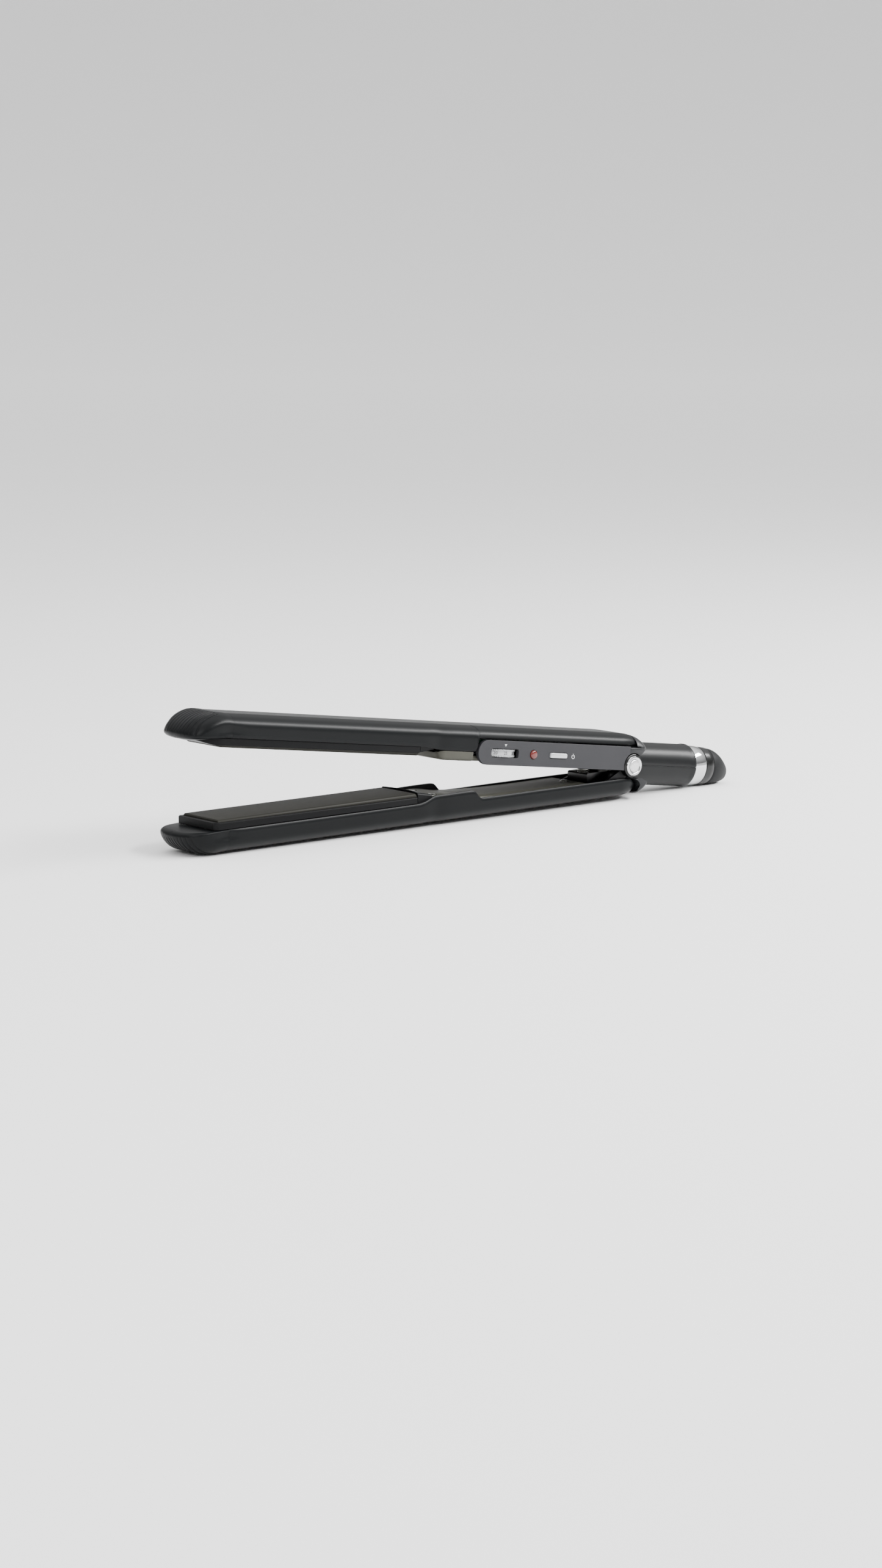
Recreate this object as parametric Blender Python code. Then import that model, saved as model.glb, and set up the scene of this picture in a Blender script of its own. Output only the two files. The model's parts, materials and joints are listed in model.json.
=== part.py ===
"""Flat iron with two hinged arms, floating heated plates, a side control panel and a rear cord swivel."""
import math
import bpy
import bmesh
from mathutils import Matrix, Vector

MM = 0.001

# Overall sizes, in millimetres
NOSE_REACH = 252.0
ARM_DEPTH = 14.6
ARM_HALF = 15.5
SHELL_WALL = 1.8
CORNER_Y = 7.5
CORNER_H = 5.5
JAW_OPEN_DEG = 7.4
LEAN_DEG = 0.25
GAP = 0.3

# Front section: plates, frames and tips
PLATE_FRONT = 236.0
PLATE_LENGTH = 108.0
PLATE_HALF = 12.7
PLATE_SKIN = 1.5
PLATE_FLANGE = 3.5
PLATE_FACE = 0.15
FRONT_RIM = 4.5
FRAME_HALF = 14.4
FRAME_TOP = 1.7
TIP_SPLIT = 232.0
TIP_CREST = 0.5
PLATE_FLOAT = 0.8

# Handle section
SHOULDER = 121.0
PANEL_FRONT = 96.0
PANEL_TOP = 8.9
PANEL_BOTTOM = -2.3
PANEL_PROUD = 0.5
PANEL_WALL = 1.8
CONTROL_HEIGHT = 3.2
UPPER_COVER = -1.1
LOWER_RIM = 5.6
COVER_REAR = 25.8
COVER_DEPTH = 6.2
REAR_SCREW_U = 29.3

# Controls on the panel
DIAL_U = 80.2
DIAL_RADIUS = 11.5
DIAL_PROUD = 0.7
DIAL_THICK = 3.5
DIAL_WINDOW = 16.2
LED_U = 62.9
LED_RADIUS = 1.95
BUTTON_U = 47.8
BUTTON_LENGTH = 10.3
BUTTON_HEIGHT = 2.3
BUTTON_TRAVEL = 0.8

# Hinge and barrel
PIN_RADIUS = 2.0
BOSS_RADIUS = 5.4
BRACKET_FRONT = 24.9
EAR_WALL = 1.5
EAR_ROOM = 0.9
CAP_PROUD = 1.0
SPRING_U = 17.0
BARREL_RADIUS = 10.1
BARREL_WALL = 2.0
BARREL_END = 47.0
RING_END = 54.5
BAND_END = 60.0
GLAND_END = 73.0
RING_STEP = 0.7
BAND_STEP = 0.9
BEARING_LAND = 1.2
BEARING_ROOM = 0.1
NECK_STEP = 0.6
SWIVEL_WALL = 1.5
OUTLET_RADIUS = 3.5

PLATE_REAR = PLATE_FRONT - PLATE_LENGTH
INNER_HALF = ARM_HALF - SHELL_WALL
PANEL_FACE = ARM_HALF + PANEL_PROUD
PANEL_INNER = PANEL_FACE - PANEL_WALL
DIAL_CENTRE_Y = DIAL_RADIUS - PANEL_FACE - DIAL_PROUD
EAR_OUTER = INNER_HALF - EAR_ROOM
EAR_INNER = EAR_OUTER - EAR_WALL
BOSS_INNER = EAR_OUTER + GAP
CAP_FACE = PANEL_FACE + CAP_PROUD
RING_OUTER = BARREL_RADIUS - RING_STEP
BAND_OUTER = BARREL_RADIUS - BAND_STEP
SPIGOT_RADIUS = BARREL_RADIUS - BARREL_WALL - GAP
BEARING_RADIUS = SPIGOT_RADIUS - BEARING_LAND
FLANGE_RADIUS = BEARING_RADIUS - BEARING_ROOM
NECK_RADIUS = FLANGE_RADIUS - NECK_STEP
SWIVEL_BORE = NECK_RADIUS - SWIVEL_WALL


def clear_scene():
    for item in list(bpy.data.objects):
        bpy.data.objects.remove(item)


def arm_matrix(arm):
    """Turn arm coordinates (towards the tail, across, away from the other arm) into row coordinates."""
    lean = math.radians(LEAN_DEG)
    angle = -lean
    flip = Matrix.Scale(-1.0, 4, Vector((0.0, 0.0, 1.0)))
    if arm == "upper":
        angle = math.radians(JAW_OPEN_DEG) - lean
        flip = Matrix.Identity(4)
    turn = Matrix.Rotation(angle, 4, "Y")
    return turn @ flip


def finish(name, mesh, arm, colour, rough, metal, anchor):
    """Give a body its object, its origin on the anchor and its own material."""
    matrix = arm_matrix(arm)
    home = matrix @ Vector(anchor)
    for vert in mesh.verts:
        vert.co = (matrix @ vert.co - home) * MM
    bmesh.ops.remove_doubles(mesh, verts=mesh.verts, dist=1e-6)
    bmesh.ops.recalc_face_normals(mesh, faces=mesh.faces)
    data = bpy.data.meshes.new(name)
    mesh.to_mesh(data)
    mesh.free()
    part = bpy.data.objects.new(name, data)
    part.location = home * MM
    bpy.context.scene.collection.objects.link(part)
    coat = bpy.data.materials.new(name)
    coat.use_nodes = True
    shader = coat.node_tree.nodes["Principled BSDF"]
    shader.inputs["Base Color"].default_value = (colour[0], colour[1], colour[2], 1.0)
    shader.inputs["Roughness"].default_value = rough
    shader.inputs["Metallic"].default_value = metal
    data.materials.append(coat)
    return part


def loft(sections, paired=False):
    """Skin a row of equal loops; paired loops run out along one wall and back along the other."""
    mesh = bmesh.new()
    rows = []
    for loop in sections:
        rows.append([mesh.verts.new(point) for point in loop])
    count = len(rows[0])
    for first, second in zip(rows, rows[1:]):
        for k in range(count):
            n = (k + 1) % count
            mesh.faces.new((first[k], first[n], second[n], second[k]))
    for row in (rows[0], rows[-1]):
        if not paired:
            mesh.faces.new(row)
            continue
        for k in range(count // 2 - 1):
            mesh.faces.new((row[k], row[k + 1], row[count - 2 - k], row[count - 1 - k]))
    return mesh


def box(x0, x1, y0, y1, h0, h1):
    sections = []
    for x in (x0, x1):
        sections.append([(x, y0, h0), (x, y1, h0), (x, y1, h1), (x, y0, h1)])
    return loft(sections)


def prism(profile, y0, y1):
    """Run a side profile of (x, h) points across the arm."""
    return loft([[(x, y, h) for x, h in profile] for y in (y0, y1)])


def rounded_prism(profile, reach):
    """A side profile run across the arm, with its outer rim drawn in at both faces."""
    sections = []
    for y, pull in ((-reach, 2.4), (-reach + 1.0, 0.9), (-reach + 3.4, 0.0)):
        loop = []
        for x, h in profile:
            radius = math.hypot(x, h)
            scale = (radius - pull) / radius if radius > 11.8 else 1.0
            loop.append((x * scale, y, h * scale))
        sections.append(loop)
    for loop in reversed(sections[:3]):
        sections.append([(x, -y, h) for x, y, h in loop])
    return loft(sections)


def ring_points(radius, count, centre=(0.0, 0.0), turn=0.0):
    points = []
    for k in range(count):
        angle = turn + 2.0 * math.pi * k / count
        points.append((centre[0] + radius * math.cos(angle), centre[1] + radius * math.sin(angle)))
    return points


def cross_pin(rings, count=24, centre=(0.0, 0.0)):
    """A solid turned about an axis across the arm: rings are (y, radius)."""
    sections = []
    for y, radius in rings:
        sections.append([(x, y, h) for x, h in ring_points(radius, count, centre)])
    return loft(sections)


def upright_pin(rings, x, y, count=20):
    """A solid turned about an axis along the arm's depth: rings are (h, radius)."""
    sections = []
    for h, radius in rings:
        sections.append([(px, py, h) for px, py in ring_points(radius, count, (x, y))])
    return loft(sections)


def turned(profile, axis, count, centre=(0.0, 0.0)):
    """A hollow body turned from a closed profile of (along, radius) points."""
    mesh = bmesh.new()
    rows = []
    for k in range(count):
        angle = 2.0 * math.pi * k / count
        row = []
        for along, radius in profile:
            a = centre[0] + radius * math.cos(angle)
            b = centre[1] + radius * math.sin(angle)
            point = {"x": (along, a, b), "y": (a, along, b), "h": (a, b, along)}[axis]
            row.append(mesh.verts.new(point))
        rows.append(row)
    size = len(profile)
    for k in range(count):
        here = rows[k]
        there = rows[(k + 1) % count]
        for j in range(size):
            n = (j + 1) % size
            mesh.faces.new((here[j], here[n], there[n], there[j]))
    return mesh


def temp_object(mesh):
    bmesh.ops.recalc_face_normals(mesh, faces=mesh.faces)
    data = bpy.data.meshes.new("cutter")
    mesh.to_mesh(data)
    mesh.free()
    item = bpy.data.objects.new("cutter", data)
    bpy.context.scene.collection.objects.link(item)
    return item


def combine(base, tool_mesh, operation="DIFFERENCE"):
    """Cut one closed body with another, or join them, and give back the result."""
    body = temp_object(base)
    tool = temp_object(tool_mesh)
    step = body.modifiers.new("step", "BOOLEAN")
    step.operation = operation
    step.solver = "EXACT"
    step.object = tool
    bpy.context.view_layer.update()
    graph = bpy.context.evaluated_depsgraph_get()
    result = bmesh.new()
    result.from_object(body, graph)
    bmesh.ops.dissolve_limit(result, angle_limit=0.0005, verts=result.verts, edges=result.edges)
    bpy.data.objects.remove(body)
    bpy.data.objects.remove(tool)
    return result


def corner(centre_y, centre_h, ry, rh, start, steps=5):
    points = []
    for k in range(steps + 1):
        angle = start - math.pi / 2.0 * k / steps
        points.append((centre_y + ry * math.cos(angle), centre_h + rh * math.sin(angle)))
    return points


def channel_loop(x, half, top, rim, wall=SHELL_WALL, ry=CORNER_Y, rh=CORNER_H):
    """Cross-section of a shell that is open towards the other arm."""
    walls = []
    for inset in (0.0, wall):
        w = half - inset
        t = top - inset
        a = max(ry - inset, 0.8)
        b = max(min(rh - inset, t - rim - 0.15), 0.6)
        side = [(-w, rim)] + corner(-w + a, t - b, a, b, math.pi)
        side += corner(w - a, t - b, a, b, math.pi / 2.0) + [(w, rim)]
        walls.append(side)
    loop = walls[0] + list(reversed(walls[1]))
    return [(x, y, h) for y, h in loop]


def shell(stations):
    """A shell from stations of (distance from the hinge, half width, top, rim)."""
    sections = [channel_loop(-u, half, top, rim) for u, half, top, rim in stations]
    return loft(sections, paired=True)


def make_shells():
    w = ARM_HALF
    t = ARM_DEPTH
    front = TIP_SPLIT - GAP
    upper = [(front, w, t, FRONT_RIM), (SHOULDER + 6.0, w, t, FRONT_RIM), (SHOULDER + 3.0, w, t, 4.1)]
    upper += [(SHOULDER, w, t, 3.5), (PANEL_FRONT + 1.0, w, t, 3.4), (PANEL_FRONT - 0.5, w, t, PANEL_TOP + 0.5)]
    upper += [(4.0, w, t, PANEL_TOP + 0.5), (0.0, w - 0.2, t - 0.3, PANEL_TOP + 0.6)]
    upper += [(-3.0, w - 0.9, t - 1.3, PANEL_TOP + 0.8)]
    finish("upper_shell", shell(upper), "upper", (0.030, 0.034, 0.038), 0.55, 0.0, (0, 0, 0))
    lower = [(front, w, t, FRONT_RIM), (SHOULDER + 7.0, w, t, FRONT_RIM), (SHOULDER + 4.0, w, t, 3.9)]
    lower += [(SHOULDER + 2.0, w, t, 2.9), (SHOULDER, w, t, 2.0), (PANEL_FRONT + 1.0, w, t, 1.8)]
    lower += [(PANEL_FRONT - 4.0, w, t, LOWER_RIM), (8.0, w, t, LOWER_RIM), (2.0, w - 0.1, t - 0.2, LOWER_RIM + 0.4)]
    lower += [(-1.0, w - 0.5, t - 0.6, 7.4), (-3.0, w - 0.9, t - 1.3, 9.0)]
    finish("lower_shell", shell(lower), "lower", (0.030, 0.034, 0.038), 0.55, 0.0, (0, 0, 0))


def tip_loop(u, half, top):
    """Cross-section of the nose: flat on the inner side, rounded over the back."""
    depth = top - FRONT_RIM
    ry = min(CORNER_Y, half * 0.7)
    rh = min(CORNER_H, depth * 0.8)
    side = [(-half, FRONT_RIM)] + corner(-half + ry, top - rh, ry, rh, math.pi)
    side += corner(half - ry, top - rh, ry, rh, math.pi / 2.0) + [(half, FRONT_RIM)]
    return [(-u, y, h) for y, h in side]


def make_tips():
    reach = NOSE_REACH - TIP_SPLIT
    stations = [(0.0, 1.0, 1.0), (0.22, 0.99, 1.035), (0.45, 0.955, 1.05), (0.62, 0.88, 1.0)]
    stations += [(0.76, 0.76, 0.85), (0.87, 0.6, 0.64), (0.94, 0.44, 0.45), (1.0, 0.2, 0.12)]
    for arm in ("upper", "lower"):
        rise = ARM_DEPTH - FRONT_RIM
        crest = TIP_CREST / (0.05 * rise)
        sections = []
        for along, wide, high in stations:
            if high > 1.0:
                high = 1.0 + (high - 1.0) * crest
            sections.append(tip_loop(TIP_SPLIT + along * reach, ARM_HALF * wide, FRONT_RIM + rise * high))
        body = loft(sections)
        finish(arm + "_tip", body, arm, (0.024, 0.026, 0.029), 0.6, 0.0, (0, 0, 0))


def make_frames():
    """Each frame is a tray set in the shell with a collar that stands above the shell's rim."""
    for arm, rear_top, front_top in (("upper", 1.5, 1.2), ("lower", -1.0, 2.0)):
        inner = INNER_HALF - GAP
        rows = [(SHOULDER + 1.0, 8.0, inner), (PLATE_REAR + 0.4, 8.0, inner), (PLATE_REAR + 1.0, 8.0, FRAME_HALF)]
        rows += [(TIP_SPLIT - 0.8, 8.0, FRAME_HALF), (TIP_SPLIT - 0.6, 4.25, FRAME_HALF)]
        rows += [(PLATE_FRONT + 4.0, 4.25, FRAME_HALF - 0.9)]
        sections = []
        for u, deep, half in rows:
            top = FRAME_TOP if u < PLATE_FRONT else front_top
            out = [(-half, top), (-half, 4.2), (-inner + 0.01, 4.2), (-inner + 0.01, deep)]
            loop = out + [(-y, h) for y, h in reversed(out)]
            sections.append([(-u, y, h) for y, h in loop])
        body = loft(sections)
        hollow = PLATE_HALF + GAP
        x0 = -(PLATE_FRONT + GAP)
        x1 = -(PLATE_REAR - GAP)
        body = combine(body, box(x0, x1, -hollow, hollow, -6.0, 6.5))
        x2 = -(SHOULDER + 1.0)
        cap = box(x1 + 0.05, x2 - 0.1, -inner + 0.3, inner - 0.3, rear_top, 3.0)
        if rear_top < FRAME_TOP:
            body = combine(body, cap, "UNION")
        finish(arm + "_plate_frame", body, arm, (0.018, 0.019, 0.021), 0.45, 0.0, (0, 0, 0))


def plate_loop(x, half):
    """The plate is folded down along both long edges."""
    outer = [(-half, PLATE_FLANGE), (-half, 1.2), (-half + 1.0, PLATE_FACE)]
    outer += [(half - 1.0, PLATE_FACE), (half, 1.2), (half, PLATE_FLANGE)]
    t = PLATE_SKIN
    inner = [(-half + t, PLATE_FLANGE), (-half + t, t + 0.3), (-half + t + 0.3, t + PLATE_FACE)]
    inner += [(half - t - 0.3, t + PLATE_FACE), (half - t, t + 0.3), (half - t, PLATE_FLANGE)]
    return [(x, y, h) for y, h in outer + list(reversed(inner))]


def make_plates():
    for arm in ("upper", "lower"):
        body = loft([plate_loop(-u, PLATE_HALF) for u in (PLATE_FRONT, PLATE_REAR)], paired=True)
        finish(arm + "_plate", body, arm, (0.075, 0.072, 0.062), 0.3, 0.6, (0, 0, 0))
        heater = box(-(PLATE_FRONT - 18.0), -(PLATE_REAR + 18.0), -7.5, 7.5, 1.75, 3.1)
        finish(arm + "_heater", heater, arm, (0.75, 0.73, 0.68), 0.6, 0.0, (0, 0, 0))
        for end, u in (("front", PLATE_FRONT - 30.0), ("rear", PLATE_REAR + 30.0)):
            cushion = upright_pin([(3.15, 2.4), (6.4, 2.4)], -u, 0.0, 16)
            name = arm + "_cushion_" + end
            finish(name, cushion, arm, (0.55, 0.16, 0.10), 0.7, 0.0, (0, 0, 0))


def make_covers():
    w = INNER_HALF - GAP
    rows = [(SHOULDER - 4.0, ARM_HALF - 2.0, -2.9), (SHOULDER - 5.5, ARM_HALF - 0.5, -3.1)]
    rows += [(PANEL_FRONT + 2.0, ARM_HALF - 0.5, -3.1), (PANEL_FRONT + 1.5, w - GAP, -1.3), (9.0, w - GAP, -1.3)]
    sections = []
    for u, half, rim in rows:
        loop = channel_loop(-u, half, -UPPER_COVER, rim, 1.5, 2.0, 1.2)
        sections.append([(x, y, -h) for x, y, h in loop])
    upper = loft(sections, paired=True)
    finish("upper_inner_cover", upper, "upper", (0.19, 0.185, 0.16), 0.5, 0.0, (0, 0, 0))
    rows = [(118.5, 3.6), (117.5, 2.6), (110.0, 2.9), (100.0, 4.4), (80.0, 5.7), (55.0, COVER_DEPTH),
            (COVER_REAR, COVER_DEPTH)]
    sections = []
    for u, h in rows:
        sections.append([(-u, -w, h + 0.4), (-u, -w + 1.5, h), (-u, w - 1.5, h), (-u, w, h + 0.4),
                         (-u, w, h + 1.6), (-u, -w, h + 1.6)])
    lower = loft(sections)
    for u, y, h in ((115.0, -7.0, 2.6), (115.0, 7.0, 2.6), (REAR_SCREW_U, 0.0, COVER_DEPTH)):
        lower = combine(lower, upright_pin([(h - 2.0, 2.4), (h + 0.6, 2.4)], -u, y))
    finish("lower_inner_cover", lower, "lower", (0.19, 0.185, 0.16), 0.5, 0.0, (0, 0, 0))
    screws = (("near", 115.0, -7.0, 2.8), ("far", 115.0, 7.0, 2.8), ("rear", REAR_SCREW_U, 0.0, COVER_DEPTH))
    for name, u, y, h in screws:
        head = upright_pin([(h - 0.6, 1.5), (h - 0.3, 2.1), (h + 0.3, 2.1)], -u, y)
        head = combine(head, box(-u - 1.3, -u + 1.3, y - 0.25, y + 0.25, h - 1.0, h - 0.2))
        finish("cover_screw_" + name, head, "lower", (0.62, 0.62, 0.60), 0.25, 1.0, (-u, y, h))


def panel_profile():
    """Side outline of the panel: rounded at the front, square at the hinge end."""
    middle = (PANEL_TOP + PANEL_BOTTOM) / 2.0
    radius = (PANEL_TOP - PANEL_BOTTOM) / 2.0
    points = []
    for k in range(9):
        angle = math.pi / 2.0 + math.pi * k / 8.0
        points.append((-PANEL_FRONT + radius + radius * math.cos(angle), middle + radius * math.sin(angle)))
    points += [(-BOSS_RADIUS - 1.1, PANEL_BOTTOM), (-BOSS_RADIUS - 1.1, PANEL_TOP)]
    return points


def make_panels():
    grey = (0.105, 0.105, 0.115)
    near = prism(panel_profile(), -PANEL_FACE, -PANEL_INNER)
    half = DIAL_THICK / 2.0 + GAP
    x0 = -DIAL_U - DIAL_WINDOW / 2.0
    low = CONTROL_HEIGHT - half
    high = CONTROL_HEIGHT + half
    near = combine(near, box(x0, x0 + DIAL_WINDOW, -PANEL_FACE - 2.0, -PANEL_INNER + 2.0, low, high))
    hole = [(-PANEL_FACE - 2.0, LED_RADIUS + GAP), (-PANEL_INNER + 2.0, LED_RADIUS + GAP)]
    near = combine(near, cross_pin(hole, 20, (-LED_U, CONTROL_HEIGHT)))
    bx = BUTTON_LENGTH / 2.0 + GAP
    bh = BUTTON_HEIGHT / 2.0 + GAP
    slot = box(-BUTTON_U - bx, -BUTTON_U + bx, -PANEL_FACE - 2.0, -PANEL_INNER + 2.0,
               CONTROL_HEIGHT - bh, CONTROL_HEIGHT + bh)
    near = combine(near, slot)
    finish("control_panel", near, "upper", grey, 0.45, 0.0, (0, 0, 0))
    far = prism(panel_profile(), PANEL_INNER, PANEL_FACE)
    finish("far_side_panel", far, "upper", grey, 0.45, 0.0, (0, 0, 0))


def make_controls():
    half = DIAL_THICK / 2.0
    x = -DIAL_U
    bore = 1.25
    low = CONTROL_HEIGHT - half
    high = CONTROL_HEIGHT + half
    profile = [(low, bore), (low, DIAL_RADIUS - 0.4), (low + 0.4, DIAL_RADIUS)]
    profile += [(high - 0.4, DIAL_RADIUS), (high, DIAL_RADIUS - 0.4), (high, bore)]
    dial = turned(profile, "h", 48, (x, DIAL_CENTRE_Y))
    finish("temperature_dial", dial, "upper", (0.62, 0.62, 0.63), 0.35, 0.7, (x, DIAL_CENTRE_Y, CONTROL_HEIGHT))
    pot = upright_pin([(low + 0.3, bore - 0.06), (high + 0.2, bore - 0.06), (high + 0.2, 4.5), (6.8, 4.5)],
                      x, DIAL_CENTRE_Y)
    finish("dial_sensor", pot, "upper", (0.05, 0.07, 0.10), 0.6, 0.0, (0, 0, 0))
    board = box(-92.0, -32.0, -10.0, 10.0, 7.1, 8.6)
    finish("circuit_board", board, "upper", (0.03, 0.14, 0.06), 0.5, 0.0, (0, 0, 0))
    lens = [(-PANEL_INNER + 0.8, LED_RADIUS - 0.3), (-PANEL_FACE - 0.4, LED_RADIUS), (-PANEL_FACE - 0.8, 1.4)]
    lens = cross_pin(lens, 20, (-LED_U, CONTROL_HEIGHT))
    finish("led_lens", lens, "upper", (0.42, 0.06, 0.04), 0.2, 0.0, (0, 0, 0))
    sections = []
    rows = [(-PANEL_FACE - 0.7, -0.3), (-PANEL_FACE - 0.4, 0.0), (-PANEL_INNER + 0.05, 0.0)]
    rows += [(-PANEL_INNER + 0.05, 0.9), (-PANEL_INNER + 0.9, 0.9)]
    for y, grow in rows:
        a = BUTTON_LENGTH / 2.0 + grow
        b = BUTTON_HEIGHT / 2.0 + grow / 3.0
        shape = [(-a, -b + 0.5), (-a + 0.5, -b), (a - 0.5, -b), (a, -b + 0.5)]
        shape += [(a, b - 0.5), (a - 0.5, b), (-a + 0.5, b), (-a, b - 0.5)]
        sections.append([(-BUTTON_U + px, y, CONTROL_HEIGHT + ph) for px, ph in shape])
    button = loft(sections)
    place = (-BUTTON_U, -PANEL_FACE, CONTROL_HEIGHT)
    finish("power_button", button, "upper", (0.68, 0.69, 0.70), 0.3, 0.6, place)
    rear = -PANEL_INNER + 0.9 + BUTTON_TRAVEL + 0.1
    switch = box(-BUTTON_U - 3.0, -BUTTON_U + 3.0, rear, rear + 5.0, CONTROL_HEIGHT - 1.8, 6.9)
    finish("power_switch", switch, "upper", (0.04, 0.04, 0.04), 0.5, 0.0, (0, 0, 0))


def make_collars():
    upper = [(-6.0, 9.1), (3.3, 9.1), (3.3, 11.5), (3.4, 14.0), (5.2, 13.6), (7.3, 12.6), (9.3, 11.2), (11.0, 9.3)]
    upper += [(8.0, 7.4), (4.7, 5.6)]
    radius = BOSS_RADIUS + GAP
    for angle in (70, 90, 110, 130):
        turn = math.radians(angle)
        upper.append((radius * math.cos(turn), radius * math.sin(turn)))
    upper.append((-6.0, 5.6))
    body = rounded_prism(upper, PANEL_FACE - 0.2)
    sleeve = BARREL_RADIUS + 0.15
    body = combine(body, loft([[(x, y, h) for y, h in ring_points(sleeve, 40)] for x in (-12.0, 20.0)]))
    finish("upper_collar", body, "upper", (0.085, 0.085, 0.092), 0.45, 0.0, (0, 0, 0))
    lower = [(3.3, 6.6), (4.7, 6.7), (8.6, 8.9), (10.3, 10.4), (8.5, 11.9), (6.6, 13.0), (3.4, 14.0), (3.3, 11.0)]
    body = rounded_prism(lower, PANEL_FACE - 0.2)
    rings = []
    for x in (-12.0, 20.0):
        drop = x * math.tan(math.radians(JAW_OPEN_DEG))
        radius = BARREL_RADIUS + 0.45
        rings.append([(x, y, h + drop) for y, h in ring_points(radius, 40)])
    body = combine(body, loft(rings))
    finish("lower_collar", body, "lower", (0.085, 0.085, 0.092), 0.45, 0.0, (0, 0, 0))


def half_barrel(sign):
    rows = [(2.6, 0.0), (BARREL_END - 2.5, 0.0), (BARREL_END - 1.2, 0.25), (BARREL_END - 0.3, 0.1)]
    sections = []
    for x, flare in rows:
        walls = []
        for radius in (BARREL_RADIUS + flare, BARREL_RADIUS - BARREL_WALL):
            edge = math.asin(0.05 / radius)
            arc = []
            for k in range(17):
                angle = edge + (math.pi - 2.0 * edge) * k / 16.0
                arc.append((x, radius * math.cos(angle), sign * radius * math.sin(angle)))
            walls.append(arc)
        sections.append(walls[0] + list(reversed(walls[1])))
    return loft(sections, paired=True)


def make_barrel():
    dark = (0.032, 0.033, 0.036)
    finish("barrel_upper", half_barrel(1.0), "upper", dark, 0.5, 0.0, (0, 0, 0))
    finish("barrel_lower", half_barrel(-1.0), "upper", dark, 0.5, 0.0, (0, 0, 0))
    inner = SPIGOT_RADIUS
    bearing = BEARING_RADIUS
    ring = [(BARREL_END - 6.0, bearing), (BARREL_END - 6.0, inner), (BARREL_END, inner), (BARREL_END, RING_OUTER)]
    ring += [(RING_END - 0.3, RING_OUTER), (RING_END, RING_OUTER - 0.3), (RING_END, bearing)]
    finish("tail_ring", turned(ring, "x", 40), "upper", (0.75, 0.75, 0.75), 0.12, 1.0, (0, 0, 0))
    start = RING_END + GAP
    bore = NECK_RADIUS + 0.08
    band = [(start, bore), (start, BAND_OUTER), (BAND_END, BAND_OUTER - 0.3), (BAND_END, bore)]
    finish("tail_band", turned(band, "x", 40), "upper", (0.022, 0.022, 0.024), 0.4, 0.0, (0, 0, 0))


def make_gland():
    """The cord swivel: a neck in the tail band and a rounded, slightly drooping rubber outlet."""
    outlet = OUTLET_RADIUS
    sag = -2.1
    lip = BAND_OUTER - 0.5
    flange = FLANGE_RADIUS
    bore = SWIVEL_BORE
    outer = [(50.5, flange, 0.0), (52.0, flange, 0.0), (52.0, NECK_RADIUS, 0.0), (BAND_END + GAP, NECK_RADIUS, 0.0)]
    outer += [(BAND_END + GAP, lip, 0.0), (63.5, lip - 0.2, -0.15), (66.5, lip - 1.0, -0.55), (69.3, lip - 2.3, -1.2)]
    outer += [(71.5, outlet + 1.9, -1.7), (GLAND_END, outlet + 1.0, sag)]
    inner = [(50.5, bore, 0.0), (52.0, bore, 0.0), (54.0, bore - 0.1, -0.1), (BAND_END, bore - 0.2, -0.3)]
    inner += [(62.0, bore - 0.4, -0.6), (63.5, bore - 0.6, -1.0), (66.0, outlet, -1.6), (69.3, outlet, -1.9)]
    inner += [(71.5, outlet, -2.0), (GLAND_END, outlet, sag)]
    mesh = bmesh.new()
    count = 32
    rows = []
    for x, radius, drop in outer + list(reversed(inner)):
        rows.append([mesh.verts.new((x, y, h)) for y, h in ring_points(radius, count, (0.0, drop))])
    total = len(rows)
    for j in range(total):
        here = rows[j]
        there = rows[(j + 1) % total]
        for k in range(count):
            n = (k + 1) % count
            mesh.faces.new((here[k], here[n], there[n], there[k]))
    finish("cord_swivel", mesh, "upper", (0.045, 0.046, 0.05), 0.75, 0.0, (BAND_END, 0, 0))


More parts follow.
